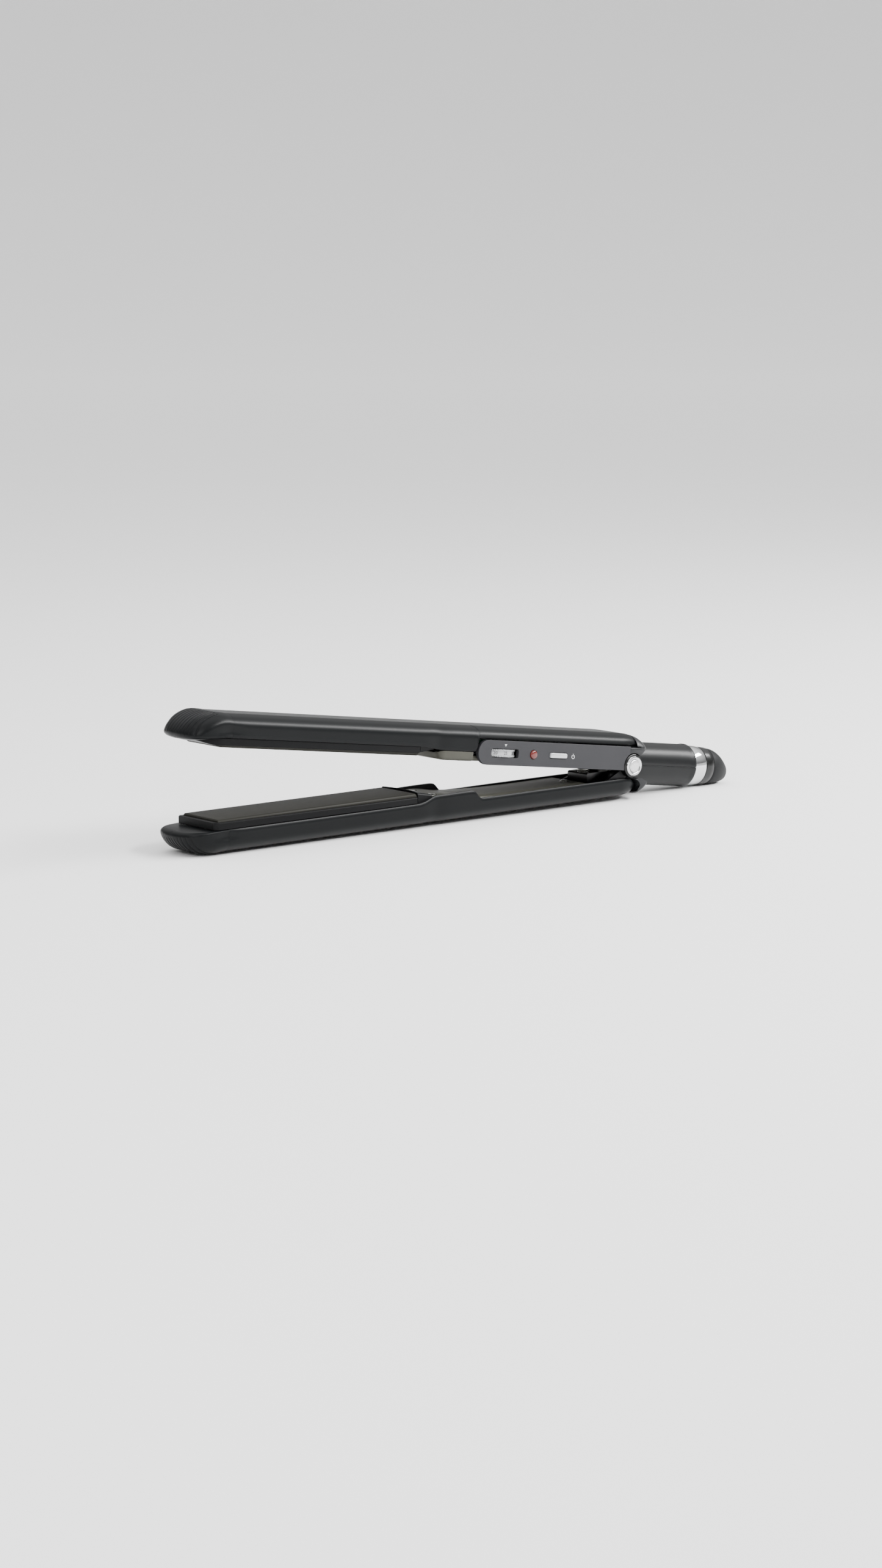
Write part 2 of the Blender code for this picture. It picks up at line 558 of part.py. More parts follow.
def make_hinge():
    pin = cross_pin([(-BOSS_INNER - 2.4, PIN_RADIUS), (BOSS_INNER + 2.4, PIN_RADIUS)], 24)
    finish("hinge_pin", pin, "upper", (0.6, 0.6, 0.6), 0.2, 1.0, (0, 0, 0))
    ear = EAR_OUTER - EAR_INNER
    arc = []
    for k in range(9):
        angle = math.radians(-20.0 + 27.5 * k)
        arc.append((4.2 * math.cos(angle), -4.2 * math.sin(angle)))
    profile = [(-BRACKET_FRONT, 10.2), (-9.0, 10.2)] + arc + [(-14.0, 6.0), (-BRACKET_FRONT, 8.8)]
    body = prism(profile, -EAR_OUTER, EAR_OUTER)
    body = combine(body, box(-40.0, 12.0, -EAR_OUTER + ear, EAR_OUTER - ear, -8.0, 8.8))
    hole = [(-20.0, PIN_RADIUS + 0.06), (20.0, PIN_RADIUS + 0.06)]
    body = combine(body, cross_pin(hole, 24))
    body = combine(body, box(-8.5, 12.0, -EAR_OUTER + ear, EAR_OUTER - ear, 8.0, 12.0))
    finish("hinge_bracket", body, "lower", (0.5, 0.5, 0.5), 0.35, 1.0, (0, 0, 0))
    for side, s in (("near", -1.0), ("far", 1.0)):
        face = PANEL_FACE
        boss = [(s * BOSS_INNER, PIN_RADIUS + 0.05), (s * BOSS_INNER, BOSS_RADIUS)]
        boss += [(s * (face - 0.3), BOSS_RADIUS), (s * face, BOSS_RADIUS - 0.3)]
        boss += [(s * face, PIN_RADIUS + 0.05)]
        finish("hinge_boss_" + side, turned(boss, "y", 32), "upper", (0.03, 0.03, 0.033), 0.4, 0.0, (0, 0, 0))
        ring = [(s * (face + 0.05), 3.1), (s * (face + 0.05), 4.5), (s * (face + 0.45), 4.5)]
        ring += [(s * (face + 0.85), 4.1), (s * (face + 0.85), 3.5), (s * (face + 0.5), 3.1)]
        finish("hinge_ring_" + side, turned(ring, "y", 32), "upper", (0.8, 0.8, 0.8), 0.1, 1.0, (0, 0, 0))
        cap = cross_pin([(s * (face + 0.05), 2.85), (s * (face + 0.7), 2.85), (s * CAP_FACE, 2.2)], 28)
        finish("hinge_cap_" + side, cap, "upper", (0.7, 0.7, 0.7), 0.3, 0.4, (0, 0, 0))


def coil(radius, wire, low, high, turns, x):
    """A closed wire coil that stands along the arm's depth."""
    mesh = bmesh.new()
    rows = []
    steps = turns * 12
    for k in range(steps + 1):
        angle = 2.0 * math.pi * k / 12.0
        h = low + (high - low) * k / steps
        row = []
        for j in range(6):
            turn = math.pi * j / 3.0
            r = radius + wire * math.cos(turn)
            row.append(mesh.verts.new((x + r * math.cos(angle), r * math.sin(angle), h + wire * math.sin(turn))))
        rows.append(row)
    for here, there in zip(rows, rows[1:]):
        for j in range(6):
            n = (j + 1) % 6
            mesh.faces.new((here[j], here[n], there[n], there[j]))
    mesh.faces.new(rows[0])
    mesh.faces.new(rows[-1])
    return mesh


def make_spring():
    block = box(-SPRING_U - 7.0, -SPRING_U + 7.0, -6.8, 6.8, 2.6, 8.5)
    block = combine(block, upright_pin([(-2.0, 3.6), (7.3, 3.6)], -SPRING_U, 0.0, 24))
    finish("spring_block", block, "lower", (0.02, 0.02, 0.022), 0.5, 0.0, (0, 0, 0))
    spring = coil(2.7, 0.4, 6.8, 0.0, 6, -SPRING_U)
    finish("jaw_spring", spring, "lower", (0.6, 0.6, 0.6), 0.3, 1.0, (0, 0, 0))


def centre_on_base():
    """Put the origin under the middle of the whole iron, on the surface it lies on."""
    low = Vector((1e9, 1e9, 1e9))
    high = -low
    for item in bpy.data.objects:
        for vert in item.data.vertices:
            point = item.location + vert.co
            for axis in range(3):
                low[axis] = min(low[axis], point[axis])
                high[axis] = max(high[axis], point[axis])
    shift = Vector(((low[0] + high[0]) / 2.0, (low[1] + high[1]) / 2.0, low[2]))
    for item in bpy.data.objects:
        item.location -= shift
    print("HINGE", tuple(-shift), "SIZE", tuple(high - low))


def main():
    clear_scene()
    make_shells()
    make_tips()
    make_frames()
    make_plates()
    make_covers()
    make_panels()
    make_controls()
    make_collars()
    make_barrel()
    make_gland()
    make_hinge()
    make_spring()
    centre_on_base()


main()
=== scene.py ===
"""A black flat iron lying open: ribbed noses, ceramic-coated plates, a thumbwheel panel and a swivel outlet."""
import json
import math
import bmesh
import bpy
from mathutils import Matrix, Vector


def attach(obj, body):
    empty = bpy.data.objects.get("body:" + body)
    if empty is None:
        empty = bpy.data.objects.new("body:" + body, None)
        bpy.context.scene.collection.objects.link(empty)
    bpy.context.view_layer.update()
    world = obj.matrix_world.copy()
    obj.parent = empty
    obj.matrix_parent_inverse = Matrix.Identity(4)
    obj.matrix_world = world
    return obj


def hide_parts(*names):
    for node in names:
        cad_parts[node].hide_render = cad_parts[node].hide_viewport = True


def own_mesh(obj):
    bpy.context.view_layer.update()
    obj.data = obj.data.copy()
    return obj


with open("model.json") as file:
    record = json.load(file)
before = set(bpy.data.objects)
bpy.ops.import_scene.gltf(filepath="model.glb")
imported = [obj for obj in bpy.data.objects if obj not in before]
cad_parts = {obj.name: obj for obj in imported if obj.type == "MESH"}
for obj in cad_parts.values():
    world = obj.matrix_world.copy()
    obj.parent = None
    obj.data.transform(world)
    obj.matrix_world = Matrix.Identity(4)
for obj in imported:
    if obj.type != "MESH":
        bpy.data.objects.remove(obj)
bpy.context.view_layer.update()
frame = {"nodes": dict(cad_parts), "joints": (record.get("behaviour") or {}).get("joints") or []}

MM = 0.001
PIVOT = Vector(frame["joints"][0]["pos_m"])
OPEN = math.radians(7.4)
LEAN = math.radians(0.25)

# Arm sizes in millimetres, measured from the hinge and from the plane where the two arms meet
NOSE_START = 232.0
NOSE_LENGTH = 20.0
ARM_HALF = 15.5
ARM_TOP = 14.6
RIM = 4.5
WALL = 1.8
PLATE_FRONT = 236.0
PLATE_REAR = 128.0
PLATE_HALF = 12.7
PANEL_FRONT = 96.0
PANEL_FACE = 16.0
PANEL_WALL = 1.8
PANEL_TOP = 8.9
PANEL_BOTTOM = -2.3
PANEL_NOSE = 5.6
PANEL_MID = 3.2
DIAL_U = 80.2
DIAL_Y = -5.2
LAMP_U = 62.9
BUTTON_U = 47.8
BOSS_HOLLOW = 6.0
BARREL_RADIUS = 10.1
SPRING = 17.0
COVER_DEPTH = 6.2
CORNER_STEPS = 6
SHARP = math.radians(38.0)


# ---------------------------------------------------------------- shapes

def arm_matrix(arm):
    """Arm coordinates are x to the tail, y to the far side and z away from the other arm."""
    if arm == "upper":
        turn = Matrix.Rotation(OPEN - LEAN, 4, "Y")
    else:
        turn = Matrix.Rotation(-LEAN, 4, "Y") @ Matrix.Scale(-1.0, 4, Vector((0.0, 0.0, 1.0)))
    return Matrix.Translation(PIVOT) @ turn @ Matrix.Scale(MM, 4)


def curve_through(points):
    """A smooth run of values through (position, value) pairs."""
    def value(x):
        if x <= points[0][0]:
            return points[0][1]
        for k in range(len(points) - 1):
            x0, v0 = points[k]
            x1, v1 = points[k + 1]
            if x <= x1:
                t = (x - x0) / (x1 - x0)
                before = points[max(k - 1, 0)]
                after = points[min(k + 2, len(points) - 1)]
                m0 = (v1 - before[1]) / max(x1 - before[0], 1e-6) * (x1 - x0)
                m1 = (after[1] - v0) / max(after[0] - x0, 1e-6) * (x1 - x0)
                a = 2 * t ** 3 - 3 * t ** 2 + 1
                b = t ** 3 - 2 * t ** 2 + t
                return a * v0 + b * m0 + (1 - a) * v1 + (t ** 3 - t ** 2) * m1
        return points[-1][1]
    return value


def skin(rows, caps=True):
    """Quads between equal closed rows of points; the ends are closed when caps is set."""
    mesh = bmesh.new()
    made = [[mesh.verts.new(p) for p in row] for row in rows]
    count = len(made[0])
    for here, there in zip(made, made[1:]):
        for k in range(count):
            n = (k + 1) % count
            mesh.faces.new((here[k], here[n], there[n], there[k]))
    if caps:
        mesh.faces.new(made[0])
        mesh.faces.new(made[-1])
    return mesh


def walled(rows):
    """A thin-walled run: each row goes out along one side of the wall and back along the other."""
    mesh = skin(rows, caps=False)
    mesh.verts.ensure_lookup_table()
    count = len(rows[0])
    for base in (0, (len(rows) - 1) * count):
        for k in range(count // 2 - 1):
            corners = (k, k + 1, count - 2 - k, count - 1 - k)
            mesh.faces.new([mesh.verts[base + c] for c in corners])
    return mesh


def across(profile, y0, y1):
    """A side outline of (x, z) points run across the arm."""
    return skin([[(x, y, z) for x, z in profile] for y in (y0, y1)])


def slab(x0, x1, y0, y1, z0, z1):
    return across([(x0, z0), (x1, z0), (x1, z1), (x0, z1)], y0, y1)


def turned(profile, axis, count=64, centre=(0.0, 0.0), closed=True):
    """A body turned from (along, radius) points; a closed profile gives a ring."""
    mesh = bmesh.new()
    rows = []
    for k in range(count):
        c = math.cos(2 * math.pi * k / count)
        s = math.sin(2 * math.pi * k / count)
        row = []
        for along, radius in profile:
            a = centre[0] + radius * c
            b = centre[1] + radius * s
            row.append(mesh.verts.new({"x": (along, a, b), "y": (a, along, b), "z": (a, b, along)}[axis]))
        rows.append(row)
    size = len(profile)
    for k in range(count):
        here = rows[k]
        there = rows[(k + 1) % count]
        for j in range(size if closed else size - 1):
            n = (j + 1) % size
            mesh.faces.new((here[j], here[n], there[n], there[j]))
    if not closed:
        mesh.faces.new([row[0] for row in rows])
        mesh.faces.new([row[-1] for row in rows])
    return mesh


def rounded_box(cx, cz, a, b, radius):
    """Outline of a rectangle with round corners, half sizes a and b."""
    points = []
    for sx, sz, start in ((1, 1, 0), (-1, 1, 90), (-1, -1, 180), (1, -1, 270)):
        for k in range(CORNER_STEPS + 1):
            angle = math.radians(start + 90.0 * k / CORNER_STEPS)
            points.append((cx + sx * (a - radius) + radius * math.cos(angle),
                           cz + sz * (b - radius) + radius * math.sin(angle)))
    return points


def shape(base, tools):
    """Cut closed bodies out of a closed body."""
    body = temporary(base)
    items = [temporary(tool) for tool in tools]
    for item in items:
        step = body.modifiers.new("step", "BOOLEAN")
        step.operation = "DIFFERENCE"
        step.solver = "EXACT"
        step.object = item
    bpy.context.view_layer.update()
    result = bmesh.new()
    result.from_object(body, bpy.context.evaluated_depsgraph_get())
    bmesh.ops.dissolve_limit(result, angle_limit=0.0005, verts=result.verts, edges=result.edges)
    for item in items + [body]:
        bpy.data.objects.remove(item)
    return result


def baked(item):
    """The evaluated object as a plain mesh; its modifiers and the object itself go."""
    bpy.context.view_layer.update()
    flat = bpy.data.meshes.new_from_object(item.evaluated_get(bpy.context.evaluated_depsgraph_get()))
    item.modifiers.clear()
    bpy.data.objects.remove(item)
    result = bmesh.new()
    result.from_mesh(flat)
    bpy.data.meshes.remove(flat)
    return result


def temporary(mesh):
    bmesh.ops.recalc_face_normals(mesh, faces=mesh.faces)
    data = bpy.data.meshes.new("blank")
    mesh.to_mesh(data)
    mesh.free()
    item = bpy.data.objects.new("blank", data)
    bpy.context.scene.collection.objects.link(item)
    return item


def piece(name, mesh, arm, finish, body, stands_for, edge=0.0, steps=2):
    """Put a body in its place, round its edges and let it ride on its part of the iron."""
    matrix = arm_matrix(arm)
    if not mesh.faces:
        raise ValueError(name + " has no faces")
    for vert in mesh.verts:
        vert.co = matrix @ vert.co
    bmesh.ops.remove_doubles(mesh, verts=mesh.verts, dist=2e-6)
    bmesh.ops.recalc_face_normals(mesh, faces=mesh.faces)
    for face in mesh.faces:
        face.smooth = True
    for line in mesh.edges:
        if len(line.link_faces) == 2 and line.calc_face_angle(0.0) > SHARP:
            line.smooth = False
    data = bpy.data.meshes.new(name)
    mesh.to_mesh(data)
    mesh.free()
    item = bpy.data.objects.new(name, data)
    bpy.context.scene.collection.objects.link(item)
    data.materials.append(finish)
    if edge > 0.0:
        rounding = item.modifiers.new("rounding", "BEVEL")
        rounding.width = edge * MM
        rounding.segments = steps
        rounding.limit_method = "ANGLE"
        rounding.angle_limit = SHARP
        rounding.harden_normals = True
    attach(item, body)
    if stands_for:
        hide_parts(*stands_for)
    return item


# ---------------------------------------------------------------- materials

def paint(code):
    """sRGB hex to linear colour."""
    parts = []
    for k in (0, 2, 4):
        value = int(code[k:k + 2], 16) / 255.0
        parts.append(value / 12.92 if value <= 0.04045 else ((value + 0.055) / 1.055) ** 2.4)
    return (parts[0], parts[1], parts[2], 1.0)


def add_node(tree, kind, settings=None, **inputs):
    """A node with its settings, and each input given a value or another node's output."""
    made = tree.nodes.new(kind)
    for key, value in (settings or {}).items():
        setattr(made, key, value)
    for key, value in inputs.items():
        numbered = key[0] == "i" and key[1:].isdigit()
        socket = made.inputs[int(key[1:]) if numbered else key.replace("_", " ")]
        if isinstance(value, bpy.types.NodeSocket):
            tree.links.new(value, socket)
        else:
            socket.default_value = value
    return made


def surface(name, dark, light, rough, spread=0.06, grain=0.4, relief=0.02, patch=18.0, metallic=0.0,
            stretch=(1.0, 1.0, 1.0), **uniform):
    """A solid material: two close tones in soft patches, a grain in its height and in its gloss."""
    made = bpy.data.materials.new(name)
    made.use_nodes = True
    tree = made.node_tree
    shader = tree.nodes["Principled BSDF"]
    place = add_node(tree, "ShaderNodeTexCoord").outputs["Object"]
    place = add_node(tree, "ShaderNodeMapping", Vector=place, Scale=stretch).outputs["Vector"]
    patches = add_node(tree, "ShaderNodeTexNoise", Vector=place, Scale=1000.0 / patch, Detail=3.0, Roughness=0.55)
    tones = add_node(tree, "ShaderNodeMix", {"data_type": "RGBA"}, Factor=patches.outputs["Fac"])
    tones.inputs[6].default_value = paint(dark)
    tones.inputs[7].default_value = paint(light)
    tree.links.new(tones.outputs[2], shader.inputs["Base Color"])
    grains = add_node(tree, "ShaderNodeTexNoise", Vector=place, Scale=1000.0 / grain, Detail=2.0, Roughness=0.6)
    gloss = add_node(tree, "ShaderNodeMapRange", Value=grains.outputs["Fac"])
    gloss.inputs["To Min"].default_value = max(rough - spread, 0.02)
    gloss.inputs["To Max"].default_value = rough + spread
    tree.links.new(gloss.outputs["Result"], shader.inputs["Roughness"])
    bump = add_node(tree, "ShaderNodeBump", Strength=0.6, Distance=relief * MM, Height=grains.outputs["Fac"])
    tree.links.new(bump.outputs["Normal"], shader.inputs["Normal"])
    shader.inputs["Metallic"].default_value = metallic
    for key, value in uniform.items():
        shader.inputs[key.replace("_", " ")].default_value = value
    return made


def make_finishes():
    """Every finish of the iron, from its shells to its screws."""
    f = {}
    # Soft-touch lacquer over moulded ABS: nearly black, with a broad blurred sheen and a very fine tooth
    f["soft"] = surface("soft_touch_lacquer", "090a0b", "0d0f10", 0.34, 0.05, 0.35, 0.010, 25.0, IOR=1.48,
                        Specular_IOR_Level=0.13)
    # PPS moulding round the hot plates: dark and slightly shiny
    f["frame"] = surface("pps_moulding", "080809", "0c0d0e", 0.42, 0.06, 0.30, 0.012, 12.0, IOR=1.5,
                         Specular_IOR_Level=0.12)
    # Satin-sprayed cover with a metallic grey-green flake
    f["cover"] = surface("satin_sprayed_cover", "3a3a33", "47463f", 0.46, 0.07, 0.25, 0.016, 9.0, 0.2, IOR=1.5,
                         Specular_IOR_Level=0.3)
    # Spark-eroded charcoal ABS of the control panel: even grey with a fine pebble
    f["panel"] = surface("spark_eroded_abs", "222225", "2a2a2d", 0.44, 0.06, 0.28, 0.016, 16.0, IOR=1.5,
                         Specular_IOR_Level=0.3)
    f["collar"] = surface("charcoal_abs", "131416", "1a1b1d", 0.38, 0.06, 0.28, 0.012, 12.0, IOR=1.5,
                          Specular_IOR_Level=0.3)
    # Satin black ABS of the barrel
    f["barrel"] = surface("satin_black_abs", "0c0d0e", "121314", 0.34, 0.05, 0.30, 0.010, 16.0, IOR=1.5,
                          Specular_IOR_Level=0.2)
    f["gloss"] = surface("polished_black_abs", "060707", "0b0c0c", 0.24, 0.04, 0.40, 0.006, 14.0, IOR=1.5,
                         Specular_IOR_Level=0.35)
    # Ceramic coating baked on aluminium: dark olive, smooth, wiped along its length
    f["plate"] = surface("baked_ceramic_coating", "21211d", "292824", 0.50, 0.05, 0.5, 0.008, 26.0, 0.0,
                         (0.12, 1.0, 1.0), IOR=1.5, Specular_IOR_Level=0.12)
    # Chromium plating over ABS: a near mirror with faint handling haze
    f["chrome"] = surface("chromium_plating", "c9cacb", "dcdddd", 0.07, 0.03, 3.0, 0.002, 8.0, 1.0)
    # Pearl lacquer on the hinge caps
    f["pearl"] = surface("pearl_lacquer", "cfcfcf", "dcdcdd", 0.26, 0.05, 0.5, 0.004, 4.0, 0.55, IOR=1.5)
    # Silver-sprayed ABS of the button and the wheel
    f["silver"] = surface("silver_sprayed_abs", "b9bbbd", "cbcdce", 0.30, 0.06, 0.3, 0.008, 5.0, 0.6, IOR=1.5)
    f["wheel"] = surface("silver_wheel_abs", "9fa0a2", "b4b5b7", 0.34, 0.06, 0.3, 0.010, 5.0, 0.5, IOR=1.5)
    # Nickel-plated steel of the screws, the pin and the spring: bright, with a fine haze
    f["nickel"] = surface("nickel_plated_steel", "a9aaa6", "bfbfbb", 0.22, 0.06, 0.5, 0.006, 5.0, 1.0)
    # Black-oxide steel of the hinge bracket: dull and almost black
    f["steel"] = surface("black_oxide_steel", "0d0d0e", "151516", 0.45, 0.08, 0.5, 0.010, 6.0, 0.6)
    # Thermoplastic rubber of the swivel: matt and slightly dusty
    f["rubber"] = surface("thermoplastic_rubber", "0e0f10", "151617", 0.58, 0.07, 0.45, 0.02, 10.0, IOR=1.5,
                          Specular_IOR_Level=0.2)
    # Red acrylic light pipe
    f["lens"] = surface("red_acrylic", "560f0b", "6b1812", 0.2, 0.03, 1.5, 0.002, 3.0, IOR=1.49,
                        Subsurface_Weight=0.35, Coat_Weight=0.5, Coat_Roughness=0.05)
    # Pad-printed silver ink, and black ink on the wheel
    f["ink"] = surface("silver_ink", "b8b9bb", "c6c7c8", 0.42, 0.05, 0.2, 0.003, 3.0, 0.3)
    f["numerals"] = surface("black_ink", "1a1a1b", "262627", 0.5, 0.05, 0.2, 0.003, 3.0)
    f["recess"] = surface("shadowed_black_abs", "0c0c0d", "141415", 0.55, 0.05, 0.4, 0.01, 8.0)
    # Inner parts
    f["alumina"] = surface("alumina_ceramic", "dbd8cf", "e6e3db", 0.6, 0.06, 0.3, 0.01, 6.0)
    f["silicone"] = surface("red_silicone", "8d3226", "9d3c2e", 0.55, 0.06, 0.5, 0.01, 6.0)
    f["board"] = surface("solder_mask", "15402a", "1c5035", 0.35, 0.06, 0.6, 0.01, 4.0)
    return f


# ---------------------------------------------------------------- arms

def reach_of(direction, half, depth, ry, rh):
    """How far a ray goes from the middle of the rim before it leaves a section with rounded shoulders."""
    c = abs(math.cos(direction))
    s = max(math.sin(direction), 0.0)
    wc = half - ry
    hc = max(depth - rh, 0.0)
    rh = depth - hc
    if c > 1e-6:
        side = half / c
        if side * s <= hc:
            return side
    if s > 1e-6:
        roof = depth / s
        if roof * c <= wc:
            return roof
    qa = (c / ry) ** 2 + (s / rh) ** 2
    qb = -2.0 * (c * wc / ry ** 2 + s * hc / rh ** 2)
    qc = (wc / ry) ** 2 + (hc / rh) ** 2 - 1.0
    return (-qb + math.sqrt(max(qb * qb - 4.0 * qa * qc, 0.0))) / (2.0 * qa)


def section(half, depth, ry=7.5, rh=5.5, count=60, tuck=0.5):
    """Points (across, above the rim) over the back of an arm, the rim corners turned in."""
    points = []
    for k in range(count + 1):
        angle = math.pi * (1.0 - k / count)
        r = reach_of(angle, half, depth, min(ry, half * 0.9), rh)
        y = r * math.cos(angle)
        z = r * max(math.sin(angle), 0.0)
        if z < tuck:
            inset = tuck * (1.0 - math.sqrt(max(1.0 - (1.0 - z / tuck) ** 2, 0.0)))
            y -= math.copysign(min(inset, abs(y)), y)
        points.append((y, z))
    return points


def pinch(u, z, y):
    """The finger scoop on each side where the nose begins."""
    along = (u - 233.5) / 5.5
    up = (z - 2.6) / 2.2
    return 0.75 * math.exp(-along * along - up * up) * (1.0 if abs(y) > 9.0 else 0.0)


RIM_LINE = {
    "upper": curve_through([(-6, 9.6), (0, 9.4), (95.2, 9.4), (95.6, 8.9), (96.6, 3.9), (97.2, 3.4), (112, 3.4),
                            (118, 3.5), (122, 4.0), (126, 4.4), (130, RIM), (240, RIM)]),
    "lower": curve_through([(-6, 9.6), (-2.5, 8.2), (0.5, 6.4), (3, 5.9), (8, 5.7), (60, 5.6), (91, 5.6), (93, 5.2),
                            (96, 2.3), (98, 1.8), (112, 1.8), (119, 2.0), (122, 2.9), (125, 3.9), (129, RIM),
                            (240, RIM)]),
}
TAIL_TOP = curve_through([(-5.0, 11.9), (-4.2, 13.0), (-3.0, 13.7), (-1.0, 14.2), (4.0, 14.55), (9.0, ARM_TOP),
                          (300.0, ARM_TOP)])
TAIL_HALF = curve_through([(-5.0, 10.5), (-4.4, 11.8), (-3.0, 13.3), (-1.0, 14.4), (3.0, 15.2), (7.0, ARM_HALF),
                           (300.0, ARM_HALF)])


def stations():
    places = [NOSE_START - 0.04 - 2.0 * k for k in range(51)]
    places += [130.0 - 0.75 * k for k in range(18)]
    places += [116.0 - 3.0 * k for k in range(6)]
    places += [99.0 - 0.5 * k for k in range(17)]
    places += [89.0 - 4.0 * k for k in range(20)]
    places += [10.0 - 0.75 * k for k in range(20)]
    return [u for u in places if u > -4.6]


def make_shells(f):
    for arm in ("upper", "lower"):
        rows = []
        for u in stations():
            rim = RIM_LINE[arm](u)
            outer = []
            inner = []
            for y, z in section(TAIL_HALF(u), TAIL_TOP(u) - rim):
                push = pinch(u, z + rim - RIM, y) + 0.4 * math.exp(-((u - 118.5) / 5.0) ** 2)
                push = push if abs(y) > 9.0 else 0.0
                outer.append((-u, y - math.copysign(push, y), rim + z))
            depth = TAIL_TOP(u) - WALL - rim
            for y, z in section(TAIL_HALF(u) - WALL, max(depth, 0.4), 5.7, 3.7, tuck=0.02):
                inner.append((-u, y, rim + z))
            rows.append(outer + list(reversed(inner)))
        piece(arm + "_arm_shell", walled(rows), arm, f["soft"], arm + "_arm", [arm + "_shell"])


NOSE_WIDE = curve_through([(0, 1.0), (20, 0.985), (40, 0.91), (55, 0.78), (68, 0.59), (80, 0.34), (86, 0.2),
                           (90, 0.1)])
NOSE_DEEP = curve_through([(0, 1.0), (12, 1.03), (22, 1.035), (33, 0.98), (44, 0.88), (58, 0.69), (72, 0.46),
                           (82, 0.3), (90, 0.15)])
NOSE_RIM = {
    "upper": curve_through([(0, RIM), (5, 4.4), (9, 3.9), (14, 3.1), (20, 2.2)]),
    "lower": curve_through([(0, RIM), (20, RIM)]),
}


# Finger grooves: six on each side of the middle, running lengthwise down the nose's front slope
GROOVE_FIRST = 0.9
GROOVE_PITCH = 2.1
GROOVE_LAST = 5
GROOVE_START = 237.6
GROOVE_DEPTH = 0.42
GROOVE_WIDTH = 0.3


def groove(u, y):
    """Depth of the moulded finger grooves at a place on the nose."""
    place = (abs(y) - GROOVE_FIRST) / GROOVE_PITCH
    nearest = round(place)
    if nearest < 0 or nearest > GROOVE_LAST:
        return 0.0
    away = (place - nearest) * GROOVE_PITCH
    run_in = min(max((u - GROOVE_START) / 1.6, 0.0), 1.0)
    run_out = min(max((251.9 - u) / 0.4, 0.0), 1.0)
    return GROOVE_DEPTH * math.exp(-(away / GROOVE_WIDTH) ** 2) * run_in * run_out


def make_noses(f):
    for arm in ("upper", "lower"):
        rows = []
        for k in range(181):
            turn = 90.0 * (k / 180.0) ** 0.8
            forward = math.sin(math.radians(turn))
            u = NOSE_START + NOSE_LENGTH * forward
            half = ARM_HALF * NOSE_WIDE(turn)
            rim = NOSE_RIM[arm](NOSE_LENGTH * forward)
            depth = (ARM_TOP - RIM) * NOSE_DEEP(turn)
            soften = forward ** 2
            tuck = 0.5 + 2.2 * soften
            row = []
            ry = 7.5 + (half * 0.62 - 7.5) * soften
            points = section(half, depth, max(ry, half * 0.35), min(5.5 + 2.5 * soften, depth * 0.9), 380, tuck)
            for y, z in points:
                fade = min(max((z - 1.4) / 0.8, 0.0), 1.0)
                reach = math.hypot(y, z) + 1e-6
                cut = groove(u, y) * fade
                push = pinch(u, z, y)
                back = 0.0
                if z < tuck:
                    back = tuck * (1.0 - math.sqrt(max(1.0 - (1.0 - z / tuck) ** 2, 0.0))) * forward
                row.append((-(u - back), y - cut * y / reach - math.copysign(push, y), rim + z - cut * z / reach))
            rows.append(row)
        piece(arm + "_nose", skin(rows), arm, f["soft"], arm + "_arm", [arm + "_tip"])


def make_frames(f):
    """The mouldings that hold the plates: a band above the shell's rim with a wall at each end."""
    for arm, rear_top, front_top in (("upper", 1.5, 1.0), ("lower", -0.2, 1.0)):
        inner = ARM_HALF - WALL - 0.3
        rows = []
        ramp = ((238.4, 13.2, 0.9), (242.0, 11.8, 1.5), (246.2, 8.6, 2.5)) if arm == "upper" else \
            ((PLATE_FRONT + 1.6, 13.5, front_top), (PLATE_FRONT + 2.6, 12.6, front_top + 0.15))
        for u, half, top in ((128.2, inner, 1.6), (128.9, 14.5, 1.6), (PLATE_FRONT, 14.3, 1.2)) + ramp:
            back = min(4.35, NOSE_RIM[arm](u - NOSE_START) - 0.15) if u > NOSE_START else 4.35
            rows.append([(-u, -half, back), (-u, -half, top + 0.3), (-u, -half + 0.3, top), (-u, half - 0.3, top),
                         (-u, half, top + 0.3), (-u, half, back)])
        band = skin(rows)
        hollow = PLATE_HALF + 0.25
        pocket = slab(-PLATE_FRONT - 0.3, -126.0, -hollow, hollow, -5.0, 6.0)
        band = shape(band, [pocket])
        name = arm + "_plate_band"
        piece(name, band, arm, f["frame"], arm + "_arm", [arm + "_plate_frame"], 0.22)
        arc = []
        for k in range(13):
            y = -inner + 0.5 + (2.0 * inner - 1.0) * k / 12.0
            arc.append((-127.7 + 2.6 * (1.0 - (y / inner) ** 2), y))
        outline = [(-119.2, -inner + 0.5)] + arc + [(-119.2, inner - 0.5)]
        rows = []
        for z, pull in ((rear_top, 0.9), (rear_top + 0.25, 0.35), (rear_top + 0.8, 0.0), (7.5, 0.0)):
            fall = 1.6 if z < 7.0 else 0.0
            rows.append([(x, y * (1.0 - pull / inner), z + (fall if x > -120.0 else 0.0)) for x, y in outline])
        piece(arm + "_rear_block", skin(rows), arm, f["frame"], arm + "_arm", [], 0.25)


